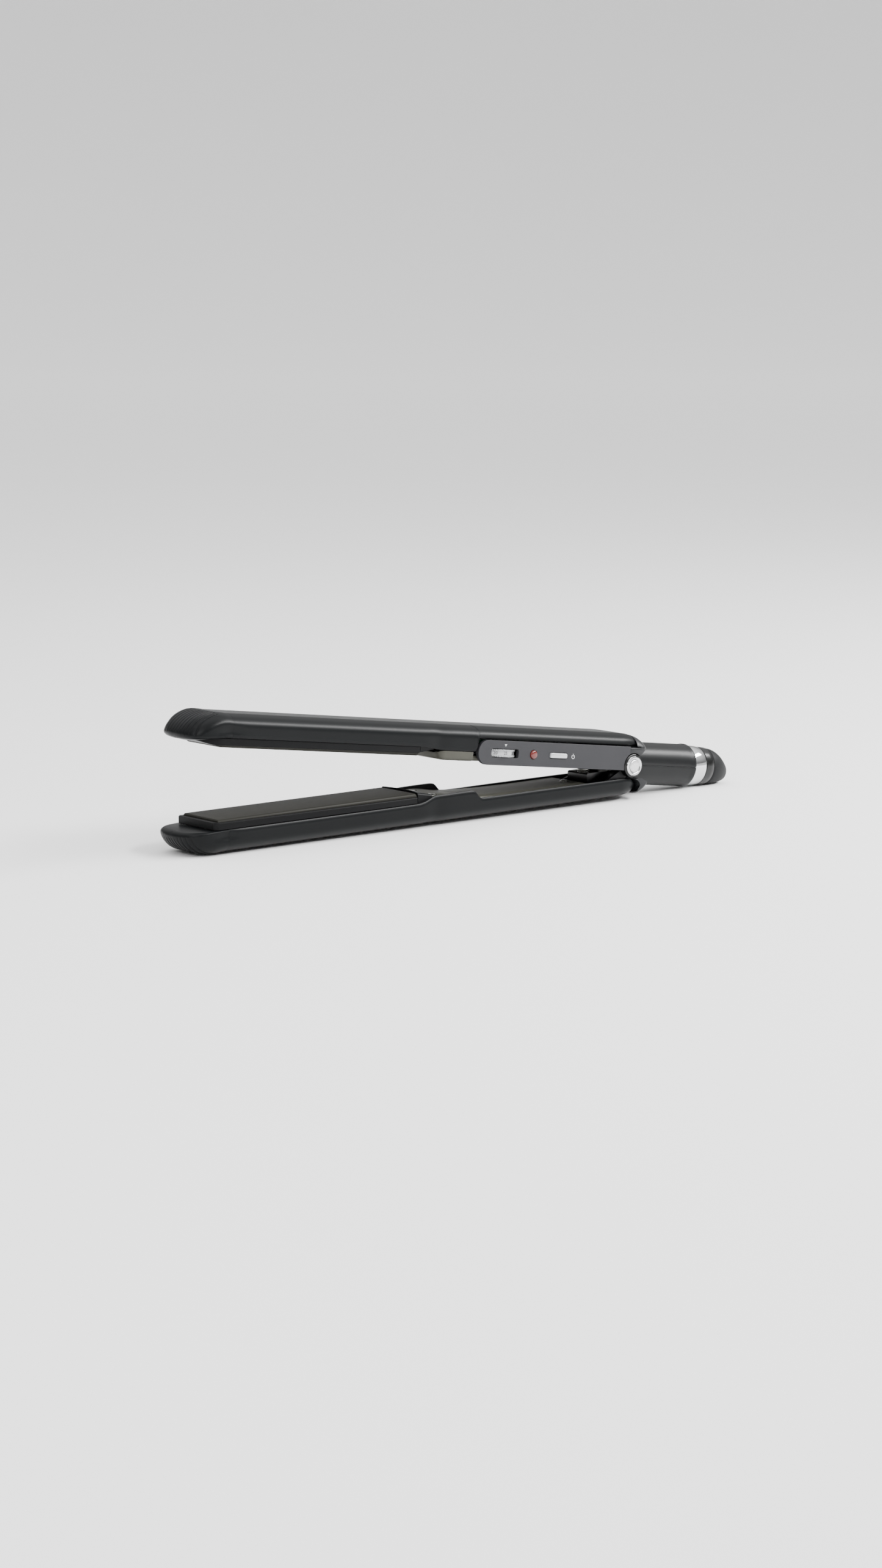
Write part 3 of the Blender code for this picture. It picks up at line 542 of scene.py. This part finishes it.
def make_plates(f):
    for arm in ("upper", "lower"):
        rows = []
        for u, pull in ((PLATE_FRONT, 0.35), (PLATE_FRONT - 0.35, 0.0), (PLATE_REAR + 0.35, 0.0),
                        (PLATE_REAR, 0.35)):
            outer = []
            for k in range(7):
                angle = math.radians(180.0 + 90.0 * k / 6.0)
                outer.append((-PLATE_HALF + 1.1 + 1.1 * math.cos(angle), 1.25 + 1.1 * math.sin(angle)))
            face = [(-PLATE_HALF, 3.5)] + outer + [(-y, z) for y, z in reversed(outer)] + [(PLATE_HALF, 3.5)]
            inside = []
            for y, z in face:
                depth = 3.5 if z > 3.0 else max(z + 1.4, 1.6)
                inside.append((max(min(y, PLATE_HALF - 1.5), 1.5 - PLATE_HALF), depth))
            row = [(-u, y, z + pull * (1.0 if z < 3.0 else 0.0)) for y, z in face]
            row += [(-u, y, z) for y, z in reversed(inside)]
            rows.append(row)
        piece(arm + "_hot_plate", walled(rows), arm, f["plate"], arm + "_plate_unit", [arm + "_plate"])


# ---------------------------------------------------------------- handle

def make_posts(f):
    """Silicone posts that press each floating plate towards the other arm."""
    for arm in ("upper", "lower"):
        for end, u in (("front", PLATE_FRONT - 30.0), ("rear", PLATE_REAR + 30.0)):
            waisted = [(3.16, 2.1), (3.45, 2.4), (4.3, 2.15), (4.8, 2.1), (5.3, 2.15), (6.1, 2.4), (6.39, 2.1)]
            body = turned(waisted, "z", 48, (-u, 0.0), False)
            post = piece(arm + "_silicone_post_" + end, body, arm, f["silicone"], arm + "_arm",
                         [arm + "_cushion_" + end])
            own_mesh(post)


def make_covers(f):
    w = ARM_HALF - WALL - 0.3
    rows = []
    for u, half, rim, low in ((117.0, 12.4, 2.2, 0.6), (116.2, 13.9, 2.9, -0.6), (114.5, 14.9, 3.1, -1.1),
                              (98.0, 14.9, 3.1, -1.1), (97.4, w - 0.3, 1.3, -1.1), (9.0, w - 0.3, 1.3, -1.1)):
        outer = [(-half, rim), (-half, low + 1.3), (-half + 0.4, low + 0.5), (-half + 1.4, low)]
        inner = [(-half + 1.2, rim), (-half + 1.2, low + 1.9), (-half + 1.5, low + 1.6), (-half + 2.2, low + 1.4)]
        loop = outer + [(-y, z) for y, z in reversed(outer)]
        back = inner + [(-y, z) for y, z in reversed(inner)]
        rows.append([(-u, y, z) for y, z in loop] + [(-u, y, z) for y, z in reversed(back)])
    piece("upper_handle_cover", walled(rows), "upper", f["cover"], "upper_arm", ["upper_inner_cover"], 0.2)
    hump = curve_through([(25.8, COVER_DEPTH), (55, COVER_DEPTH), (80, 5.7), (98, 4.5), (108, 2.9), (115, 2.6),
                         (118.5, 3.2)])
    rows = []
    for k in range(75):
        u = 118.5 - 92.7 * k / 74.0
        z = hump(u)
        top = [(-w, z + 0.9), (-w + 0.25, z + 0.35), (-w + 0.9, z), (-w * 0.5, z - 0.12), (0.0, z - 0.16)]
        top += [(-y, v) for y, v in reversed(top[:-1])]
        rows.append([(-u, y, v) for y, v in top] + [(-u, w, z + 1.7), (-u, -w, z + 1.7)])
    cover = skin(rows)
    sinks = []
    for u, y in ((115.0, -7.0), (115.0, 7.0), (29.3, 0.0)):
        z = hump(u)
        sinks.append(turned([(z - 2.0, 2.45), (z + 0.55, 2.45)], "z", 40, (-u, y), False))
    cover = shape(cover, sinks)
    piece("lower_handle_cover", cover, "lower", f["cover"], "lower_arm", ["lower_inner_cover"], 0.12)


def make_screws(f):
    """Pan-head screws with a cross recess, in the lower cover's counterbores."""
    for side, u, y, z in (("near", 115.0, -7.0, 2.8), ("far", 115.0, 7.0, 2.8), ("rear", 29.3, 0.0, COVER_DEPTH)):
        dome = [(z - 0.65, 0.9), (z - 0.62, 1.3), (z - 0.45, 1.8), (z - 0.2, 2.05), (z + 0.3, 2.1)]
        head = turned(dome, "z", 40, (-u, y), False)
        slots = []
        for a, b in ((1.25, 0.24), (0.24, 1.25)):
            slots.append(slab(-u - a, -u + a, y - b, y + b, z - 1.2, z - 0.1))
        head = shape(head, slots)
        piece("screw_" + side, head, "lower", f["nickel"], "lower_arm", ["cover_screw_" + side], 0.05)


def panel_outline():
    """Side outline of the panel: round at the front, and hollowed round the hinge boss."""
    middle = (PANEL_TOP + PANEL_BOTTOM) / 2.0
    radius = (PANEL_TOP - PANEL_BOTTOM) / 2.0
    points = []
    for k in range(25):
        angle = math.pi / 2.0 + math.pi * k / 24.0
        points.append((-PANEL_FRONT + PANEL_NOSE + radius * math.cos(angle), middle + radius * math.sin(angle)))
    low = math.asin(PANEL_BOTTOM / BOSS_HOLLOW)
    high = math.radians(62.0)
    points.append((-BOSS_HOLLOW * math.cos(low) - 0.02, PANEL_BOTTOM))
    for k in range(13):
        angle = low + (high - low) * k / 12.0
        points.append((-BOSS_HOLLOW * math.cos(angle), BOSS_HOLLOW * math.sin(angle)))
    points.append((-BOSS_HOLLOW * math.cos(high), PANEL_TOP))
    return points


def inset_outline(points, width):
    """The same outline drawn in by a width on every side."""
    result = []
    count = len(points)
    area = sum(points[k][0] * points[(k + 1) % count][1] - points[(k + 1) % count][0] * points[k][1]
               for k in range(count))
    sign = 1.0 if area > 0 else -1.0
    for k in range(count):
        ax, az = points[k - 1]
        bx, bz = points[k]
        cx, cz = points[(k + 1) % count]
        n1 = Vector((-(bz - az), bx - ax)).normalized()
        n2 = Vector((-(cz - bz), cx - bx)).normalized()
        n = n1 + n2
        if n.length < 1e-6:
            n = n1
        n.normalize()
        scale = width / max(n.dot(n1), 0.35)
        result.append((bx + sign * n.x * scale, bz + sign * n.y * scale))
    return result


def make_panels(f):
    for side, s in (("near", -1.0), ("far", 1.0)):
        body = across(panel_outline(), s * (PANEL_FACE - PANEL_WALL), s * PANEL_FACE)
        tools = []
        line = inset_outline(panel_outline(), 1.45)
        inner = inset_outline(panel_outline(), 1.95)
        trench = shape(across(line, s * (PANEL_FACE - 0.4), s * (PANEL_FACE + 1.0)),
                       [across(inner, s * (PANEL_FACE - 1.0), s * (PANEL_FACE + 2.0))])
        tools.append(trench)
        if side == "near":
            y0, y1 = -PANEL_FACE - 2.0, -PANEL_FACE + 4.0
            tools.append(across(rounded_box(-DIAL_U, PANEL_MID, 8.1, 2.05, 1.0), y0, y1))
            tools.append(turned([(y0, 2.15), (y1, 2.15)], "y", 48, (-LAMP_U, PANEL_MID), False))
            tools.append(across(rounded_box(-BUTTON_U, PANEL_MID, 5.4, 1.4, 0.9), y0, y1))
        body = shape(body, tools)
        stands = "control_panel" if side == "near" else "far_side_panel"
        piece(side + "_side_panel_moulding", body, "upper", f["panel"], "upper_arm", [stands], 0.14)


def ring_of_teeth(count, radius, tooth, finish):
    """Repeat a small ridge round a circle."""
    tree = bpy.data.node_groups.new("wheel_ridges", "GeometryNodeTree")
    sockets = {}
    for label, kind in (("Count", "Int"), ("Radius", "Float"), ("Ridge", "Vector")):
        sockets[label] = tree.interface.new_socket(name=label, in_out="INPUT", socket_type="NodeSocket" + kind)
    tree.interface.new_socket(name="Geometry", in_out="OUTPUT", socket_type="NodeSocketGeometry")
    given = add_node(tree, "NodeGroupInput")
    circle = add_node(tree, "GeometryNodeMeshCircle", Vertices=given.outputs["Count"],
                      Radius=given.outputs["Radius"])
    ridge = add_node(tree, "GeometryNodeMeshCube", Size=given.outputs["Ridge"])
    where = add_node(tree, "GeometryNodeInputPosition")
    facing = add_node(tree, "FunctionNodeAlignEulerToVector", {"axis": "X"}, Vector=where.outputs["Position"])
    copies = add_node(tree, "GeometryNodeInstanceOnPoints", Points=circle.outputs["Mesh"],
                      Instance=ridge.outputs["Mesh"], Rotation=facing.outputs["Rotation"])
    solid = add_node(tree, "GeometryNodeRealizeInstances", Geometry=copies.outputs["Instances"])
    coated = add_node(tree, "GeometryNodeSetMaterial", Geometry=solid.outputs["Geometry"], Material=finish)
    add_node(tree, "NodeGroupOutput", Geometry=coated.outputs["Geometry"])
    holder = bpy.data.objects.new("ridges", bpy.data.meshes.new("ridges"))
    bpy.context.scene.collection.objects.link(holder)
    step = holder.modifiers.new("ridges", "NODES")
    step.node_group = tree
    step[sockets["Count"].identifier] = count
    step[sockets["Radius"].identifier] = radius
    step[sockets["Ridge"].identifier] = tooth
    return baked(holder)


def coil_of_wire(turns, radius, height, wire, finish):
    """A spring wound along a spiral."""
    tree = bpy.data.node_groups.new("jaw_coil", "GeometryNodeTree")
    sockets = {}
    for label in ("Turns", "Radius", "Height", "Wire"):
        sockets[label] = tree.interface.new_socket(name=label, in_out="INPUT", socket_type="NodeSocketFloat")
    tree.interface.new_socket(name="Geometry", in_out="OUTPUT", socket_type="NodeSocketGeometry")
    given = add_node(tree, "NodeGroupInput")
    path = add_node(tree, "GeometryNodeCurveSpiral", Resolution=28, Rotations=given.outputs["Turns"],
                    Start_Radius=given.outputs["Radius"], End_Radius=given.outputs["Radius"],
                    Height=given.outputs["Height"])
    wire_round = add_node(tree, "GeometryNodeCurvePrimitiveCircle", Resolution=12, Radius=given.outputs["Wire"])
    wound = add_node(tree, "GeometryNodeCurveToMesh", Curve=path.outputs["Curve"],
                     Profile_Curve=wire_round.outputs["Curve"])
    wound.inputs["Fill Caps"].default_value = True
    solid = add_node(tree, "GeometryNodeRealizeInstances", Geometry=wound.outputs["Mesh"])
    coated = add_node(tree, "GeometryNodeSetMaterial", Geometry=solid.outputs["Geometry"], Material=finish)
    add_node(tree, "NodeGroupOutput", Geometry=coated.outputs["Geometry"])
    holder = bpy.data.objects.new("coil", bpy.data.meshes.new("coil"))
    bpy.context.scene.collection.objects.link(holder)
    step = holder.modifiers.new("coil", "NODES")
    step.node_group = tree
    for label, value in (("Turns", turns), ("Radius", radius), ("Height", height), ("Wire", wire)):
        step[sockets[label].identifier] = value
    return baked(holder)


def letters(text, size):
    """A number as a flat mesh, centred on the origin in millimetres."""
    curve = bpy.data.curves.new("number", "FONT")
    curve.body = text
    curve.size = size
    curve.align_x = "CENTER"
    curve.align_y = "CENTER"
    curve.extrude = 0.03
    item = bpy.data.objects.new("number", curve)
    bpy.context.scene.collection.objects.link(item)
    return baked(item)


def make_dial(f):
    x, y, z = -DIAL_U, DIAL_Y, PANEL_MID
    rim = [(z - 1.75, 1.4), (z - 1.75, 10.7), (z - 1.5, 11.0), (z - 1.2, 11.15), (z + 1.2, 11.15), (z + 1.5, 11.0),
           (z + 1.75, 10.7), (z + 1.75, 1.4)]
    piece("thumbwheel", turned(rim, "z", 120, (x, y)), "upper", f["wheel"], "dial", ["temperature_dial"])
    for side, lift in (("top", 1.35), ("bottom", -1.35)):
        teeth = ring_of_teeth(90, 11.15, (0.7, 0.4, 0.75), f["silver"])
        for vert in teeth.verts:
            vert.co += Vector((x, y, z + lift))
        piece("thumbwheel_knurl_" + side, teeth, "upper", f["silver"], "dial", [], 0.05, 1)
    marks = bmesh.new()
    for k in range(9):
        flat = letters(str(5 + 5 * k), 2.1)
        centre = math.radians(-90.0 + (k - 4) * 27.0)
        spare = bpy.data.meshes.new("spare")
        for vert in flat.verts:
            angle = centre + vert.co.x / 11.2
            r = 11.17 + vert.co.z
            vert.co = Vector((x + r * math.cos(angle), y + r * math.sin(angle), z + vert.co.y))
        flat.to_mesh(spare)
        flat.free()
        marks.from_mesh(spare)
        bpy.data.meshes.remove(spare)
    piece("thumbwheel_numbers", marks, "upper", f["numerals"], "dial", [])


def make_controls(f):
    y = -PANEL_FACE
    lens = [(y + 1.8, 1.6), (y + 1.4, 1.95), (y - 0.25, 1.95), (y - 0.55, 1.75), (y - 0.74, 1.3), (y - 0.8, 0.6)]
    piece("led_light_pipe", turned(lens, "y", 48, (-LAMP_U, PANEL_MID), False), "upper", f["lens"], "upper_arm",
          ["led_lens"])
    rows = []
    for level, pull in ((y + 2.6, 0.0), (y - 0.25, 0.0), (y - 0.52, 0.16), (y - 0.66, 0.45)):
        outline = rounded_box(-BUTTON_U, PANEL_MID, 5.15 - pull, 1.15 - pull * 0.8, max(0.7 - pull * 0.6, 0.2))
        rows.append([(px, level, pz) for px, pz in outline])
    piece("power_key", skin(rows), "upper", f["silver"], "button", ["power_button"])
    marks = across([(-DIAL_U - 0.75, 7.35), (-DIAL_U + 0.75, 7.35), (-DIAL_U, 6.25)], y - 0.03, y + 0.2)
    piece("dial_pointer", marks, "upper", f["ink"], "upper_arm", [])
    icon = []
    for radius, level in ((1.0, -0.03), (0.72, -0.03), (0.72, 0.2), (1.0, 0.2)):
        row = []
        for k in range(33):
            angle = math.radians(90.0 + 38.0 + (360.0 - 76.0) * k / 32.0)
            row.append((-38.7 + radius * math.cos(angle), y + level, PANEL_MID - 0.2 + radius * math.sin(angle)))
        icon.append(row)
    flat = [list(column) for column in zip(*icon)]
    piece("power_mark_ring", skin(flat), "upper", f["ink"], "upper_arm", [])
    bar = slab(-38.84, -38.56, y - 0.03, y + 0.2, PANEL_MID, PANEL_MID + 1.15)
    piece("power_mark_bar", bar, "upper", f["ink"], "upper_arm", [])


# ---------------------------------------------------------------- hinge and tail

# The collars' sides round over within this width; the upper one's height and rear reach shrink there too
COLLAR_ROUND = 7.5
COLLAR_CORE = 7.0
COLLAR_SIDE = 8.9
COLLAR_WING = 5.0


def make_collars(f):
    upper = [(-8.5, 9.1), (2.0, 9.1), (3.6, 9.5), (4.8, 10.6), (4.9, 11.8), (3.8, 12.6), (2.6, 13.3), (1.9, 13.7)]
    for angle in range(9, 51, 6):
        turn = math.radians(angle)
        upper.append((14.1 * math.sin(turn), 14.1 * math.cos(turn)))
    upper += [(10.8, 8.8), (10.1, 8.5), (7.6, 7.2), (5.4, 6.2), (3.6, 4.8)]
    for angle in (60, 75, 90, 105, 118):
        turn = math.radians(angle)
        upper.append((6.0 * math.cos(turn), 6.0 * math.sin(turn)))
    upper.append((-2.8, 8.6))
    upper.append((-8.5, 8.95))
    lower = [(1.4, 6.5), (3.3, 6.2), (5.2, 6.6), (7.6, 7.9), (9.9, 9.5)]
    for angle in (44, 40, 34, 28, 22, 16):
        turn = math.radians(angle)
        lower.append((14.5 * math.sin(turn), 14.5 * math.cos(turn)))
    lower += [(3.4, 13.3), (4.6, 12.0), (4.9, 10.6), (4.2, 9.0), (2.9, 7.4)]
    for arm, outline in (("upper", upper), ("lower", lower)):
        rows = []
        reach = PANEL_FACE - 0.15
        for step in (0.0, 0.12, 0.4, 0.85, 1.5, 2.4, 3.6, 5.3, COLLAR_ROUND):
            edge = 1.0 - step / COLLAR_ROUND
            bend = 1.0 - math.sqrt(max(1.0 - edge * edge, 0.0))
            pull = (3.2 if arm == "upper" else 2.4) * bend
            squeeze = max(1.0 - bend, 0.05)
            row = []
            for x, z in outline:
                radius = math.hypot(x, z)
                beyond = max(radius - COLLAR_CORE, 0.0)
                scale = (min(radius, COLLAR_CORE) + beyond * (1.0 - pull / COLLAR_ROUND)) / radius
                height = z * scale
                if arm == "upper" and height > COLLAR_SIDE:
                    height = COLLAR_SIDE + (height - COLLAR_SIDE) * squeeze
                across_x = x * scale
                if arm == "upper" and across_x > COLLAR_WING:
                    across_x = COLLAR_WING + (across_x - COLLAR_WING) * (1.0 - 0.75 * bend)
                row.append((across_x, -reach + step, height))
            rows.append(row)
        rows += [[(x, -y, z) for x, y, z in row] for row in reversed(rows)]
        body = skin(rows)
        tilt = 0.0 if arm == "upper" else math.tan(OPEN)
        radius = BARREL_RADIUS + (0.08 if arm == "upper" else 0.45)
        tube = []
        for x in (-14.0, 22.0):
            ring = []
            for k in range(96):
                angle = 2.0 * math.pi * k / 96.0
                ring.append((x, radius * math.cos(angle), radius * math.sin(angle) + tilt * x))
            tube.append(ring)
        body = shape(body, [skin(tube)])
        piece(arm + "_hinge_collar", body, arm, f["collar"], arm + "_arm", [arm + "_collar"], 0.2)


def make_hinge(f):
    for side, s in (("near", -1.0), ("far", 1.0)):
        y = s * PANEL_FACE
        boss = [(s * 9.5, 2.1), (s * 9.5, 5.5), (s * 13.0, 5.5), (y - s * 0.35, 5.45), (y - s * 0.08, 5.2),
                (y, 4.9), (y, 2.1)]
        piece("hinge_boss_cup_" + side, turned(boss, "y", 72), "upper", f["gloss"], "upper_arm",
              ["hinge_boss_" + side])
        ring = [(y + s * 0.05, 3.05), (y + s * 0.05, 4.55), (y + s * 0.4, 4.6), (y + s * 0.72, 4.4),
                (y + s * 0.85, 4.0), (y + s * 0.8, 3.6), (y + s * 0.55, 3.25), (y + s * 0.3, 3.05)]
        piece("hinge_trim_ring_" + side, turned(ring, "y", 80), "upper", f["chrome"], "upper_arm",
              ["hinge_ring_" + side])
        cap = [(y + s * 0.05, 2.9), (y + s * 0.55, 2.9), (y + s * 0.75, 2.75), (y + s * 0.92, 2.2),
               (y + s * 1.0, 1.2), (y + s * 1.0, 0.4)]
        piece("hinge_pearl_cap_" + side, turned(cap, "y", 64, closed=False), "upper", f["pearl"], "upper_arm",
              ["hinge_cap_" + side])


def make_spring(f):
    blocks = across(rounded_box(-12.5, 5.55, 8.5, 2.95, 0.8), -6.7, 6.7)
    well = turned([(-4.0, 3.6), (7.3, 3.6)], "z", 48, (-SPRING, 0.0), False)
    block = shape(blocks, [well])
    piece("spring_seat", block, "lower", f["gloss"], "lower_arm", ["spring_block"], 0.3, 3)
    coil = coil_of_wire(6.0, 2.7, 6.8, 0.4, f["nickel"])
    for vert in coil.verts:
        vert.co += Vector((-SPRING, 0.0, 0.0))
    wound = piece("jaw_coil", coil, "lower", f["nickel"], "lower_arm", ["jaw_spring"])
    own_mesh(wound)


def make_barrel(f):
    for name, sign in (("upper", 1.0), ("lower", -1.0)):
        rows = []
        for x, flare in ((2.6, 0.0), (12.0, 0.0), (24.0, 0.0), (36.0, 0.0), (43.0, 0.0), (44.6, 0.1), (45.8, 0.27),
                         (46.4, 0.24), (46.8, 0.05)):
            outer = []
            inner = []
            for k in range(49):
                edge = 0.006
                angle = edge + (math.pi - 2.0 * edge) * k / 48.0
                close = min(k, 48 - k)
                lip = 0.12 if close == 0 else 0.0
                r = BARREL_RADIUS + flare - lip
                outer.append((x, r * math.cos(angle), sign * r * math.sin(angle)))
                inner.append((x, 8.1 * math.cos(angle), sign * 8.1 * math.sin(angle)))
            rows.append(outer + list(reversed(inner)))
        piece("barrel_half_" + name, walled(rows), "upper", f["barrel"], "upper_arm", ["barrel_" + name], 0.08)
    ring = [(41.0, 6.6), (41.0, 7.8), (46.9, 7.8), (46.9, 9.2), (47.1, 9.4), (47.6, 9.5), (50.8, 9.56),
            (53.9, 9.42), (54.3, 9.3), (54.5, 9.0), (54.5, 6.6)]
    piece("chrome_tail_ring", turned(ring, "x", 120), "upper", f["chrome"], "upper_arm", ["tail_ring"])
    band = [(54.8, 5.98), (54.8, 9.05), (55.0, 9.25), (57.5, 9.15), (59.7, 8.98), (60.0, 8.8), (60.0, 5.98)]
    piece("tail_bearing_band", turned(band, "x", 96), "upper", f["gloss"], "upper_arm", ["tail_band"])


def make_swivel(f):
    """Rubber outlet that droops a little, with the round hole where the mains lead leaves."""
    outer = [(50.5, 6.5, 0.0), (52.0, 6.5, 0.0), (52.0, 5.88, 0.0), (60.3, 5.88, 0.0), (60.3, 8.5, 0.0),
             (60.6, 8.72, 0.0), (62.0, 8.68, -0.05), (63.5, 8.5, -0.15), (65.0, 8.2, -0.32), (66.5, 7.75, -0.55),
             (68.0, 7.2, -0.85), (69.3, 6.55, -1.15), (70.6, 5.85, -1.45), (71.7, 5.2, -1.75), (72.5, 4.7, -1.95),
             (72.9, 4.35, -2.05), (73.0, 4.0, -2.1)]
    inner = [(50.5, 4.4, 0.0), (54.0, 4.3, -0.1), (60.0, 4.2, -0.3), (63.5, 3.8, -1.0), (66.0, 3.5, -1.6),
             (69.3, 3.5, -1.9), (72.6, 3.5, -2.08), (72.95, 3.7, -2.1)]
    rows = []
    for x, radius, drop in outer + list(reversed(inner)):
        ring = []
        for k in range(96):
            angle = 2.0 * math.pi * k / 96.0
            ring.append((x, radius * math.cos(angle), radius * math.sin(angle) + drop))
        rows.append(ring)
    rows.append(rows[0])
    piece("cord_outlet_swivel", skin(rows, caps=False), "upper", f["rubber"], "swivel", ["cord_swivel"])


def finish_inner_parts(f):
    """Hidden parts keep their CAD shape and take their real finish."""
    finishes = {
        "upper_heater": "alumina", "lower_heater": "alumina", "circuit_board": "board", "dial_sensor": "recess",
        "power_switch": "recess", "hinge_pin": "nickel", "hinge_bracket": "steel",
    }
    for node, key in finishes.items():
        slots = frame["nodes"][node].data.materials
        slots.clear()
        slots.append(f[key])


# ---------------------------------------------------------------- studio

def make_studio():
    """A round pale floor that curves up at its edge, a sky that is bright overhead, and three soft lights."""
    profile = [(0.0, 0.01), (0.0, 1.0), (0.0, 3.0), (0.0, 6.0)]
    for k in range(1, 9):
        angle = math.radians(90.0 * k / 8.0)
        profile.append((1.2 * (1.0 - math.cos(angle)), 6.8 + 1.2 * math.sin(angle)))
    floor = bmesh.new()
    turns = 96
    rows = []
    for k in range(turns):
        c = math.cos(2.0 * math.pi * k / turns)
        s = math.sin(2.0 * math.pi * k / turns)
        rows.append([floor.verts.new((r * c, r * s, z)) for z, r in profile])
    for k in range(turns):
        here = rows[k]
        there = rows[(k + 1) % turns]
        for j in range(len(profile) - 1):
            floor.faces.new((here[j], here[j + 1], there[j + 1], there[j]))
    floor.faces.new([row[0] for row in rows])
    bmesh.ops.recalc_face_normals(floor, faces=floor.faces)
    for face in floor.faces:
        face.smooth = True
    data = bpy.data.meshes.new("studio_floor")
    floor.to_mesh(data)
    floor.free()
    item = bpy.data.objects.new("studio_floor", data)
    bpy.context.scene.collection.objects.link(item)
    data.materials.append(surface("studio_paper", "f7f7f7", "f9f9f9", 0.9, 0.03, 0.5, 0.002, 200.0))
    world = bpy.data.worlds.new("studio")
    world.use_nodes = True
    tree = world.node_tree
    direction = add_node(tree, "ShaderNodeTexCoord").outputs["Generated"]
    height = add_node(tree, "ShaderNodeSeparateXYZ", Vector=direction).outputs["Z"]
    sky = add_node(tree, "ShaderNodeMapRange", {"interpolation_type": "SMOOTHSTEP"}, Value=height)
    for label, value in (("From Min", 0.1), ("From Max", 0.85), ("To Min", 0.22), ("To Max", 1.7)):
        sky.inputs[label].default_value = value
    tree.links.new(sky.outputs["Result"], tree.nodes["Background"].inputs["Strength"])
    tree.nodes["Background"].inputs["Color"].default_value = (1.0, 1.0, 1.0, 1.0)
    bpy.context.scene.world = world
    aim = Vector((-0.03, 0.0, 0.03))
    for name, spot, size, power in (("shoulder_softbox", (0.75, -0.75, 0.85), (1.7, 0.2), 42.0),
                                    ("front_softbox", (-1.1, -0.7, 0.7), (0.8, 0.4), 5.0),
                                    ("top_softbox", (-0.1, -0.2, 1.4), (1.8, 0.9), 9.0)):
        light = bpy.data.lights.new(name, "AREA")
        light.shape = "RECTANGLE"
        light.size = size[0]
        light.size_y = size[1]
        light.energy = power
        lamp = bpy.data.objects.new(name, light)
        lamp.location = spot
        lamp.rotation_euler = (aim - Vector(spot)).to_track_quat("-Z", "Y").to_euler()
        bpy.context.scene.collection.objects.link(lamp)


def make_camera():
    data = bpy.data.cameras.new("view")
    data.sensor_fit = "VERTICAL"
    data.sensor_height = 36.0
    data.lens = 36.0 * 5355.6 / 2569.0
    data.clip_start = 0.05
    data.clip_end = 20.0
    camera = bpy.data.objects.new("view", data)
    bpy.context.scene.collection.objects.link(camera)
    yaw = math.radians(50.2918)
    pitch = math.radians(8.7369)
    ahead = Vector((math.cos(pitch) * math.cos(yaw), math.cos(pitch) * math.sin(yaw), -math.sin(pitch)))
    camera.location = PIVOT + Vector((-1.03180, -1.11790, 0.22304))
    camera.rotation_euler = ahead.to_track_quat("-Z", "Y").to_euler()
    bpy.context.scene.camera = camera


def main():
    f = make_finishes()
    make_shells(f)
    make_noses(f)
    make_frames(f)
    make_plates(f)
    make_posts(f)
    make_covers(f)
    make_screws(f)
    make_panels(f)
    make_dial(f)
    make_controls(f)
    make_collars(f)
    make_hinge(f)
    make_spring(f)
    make_barrel(f)
    make_swivel(f)
    finish_inner_parts(f)
    make_studio()
    make_camera()


main()
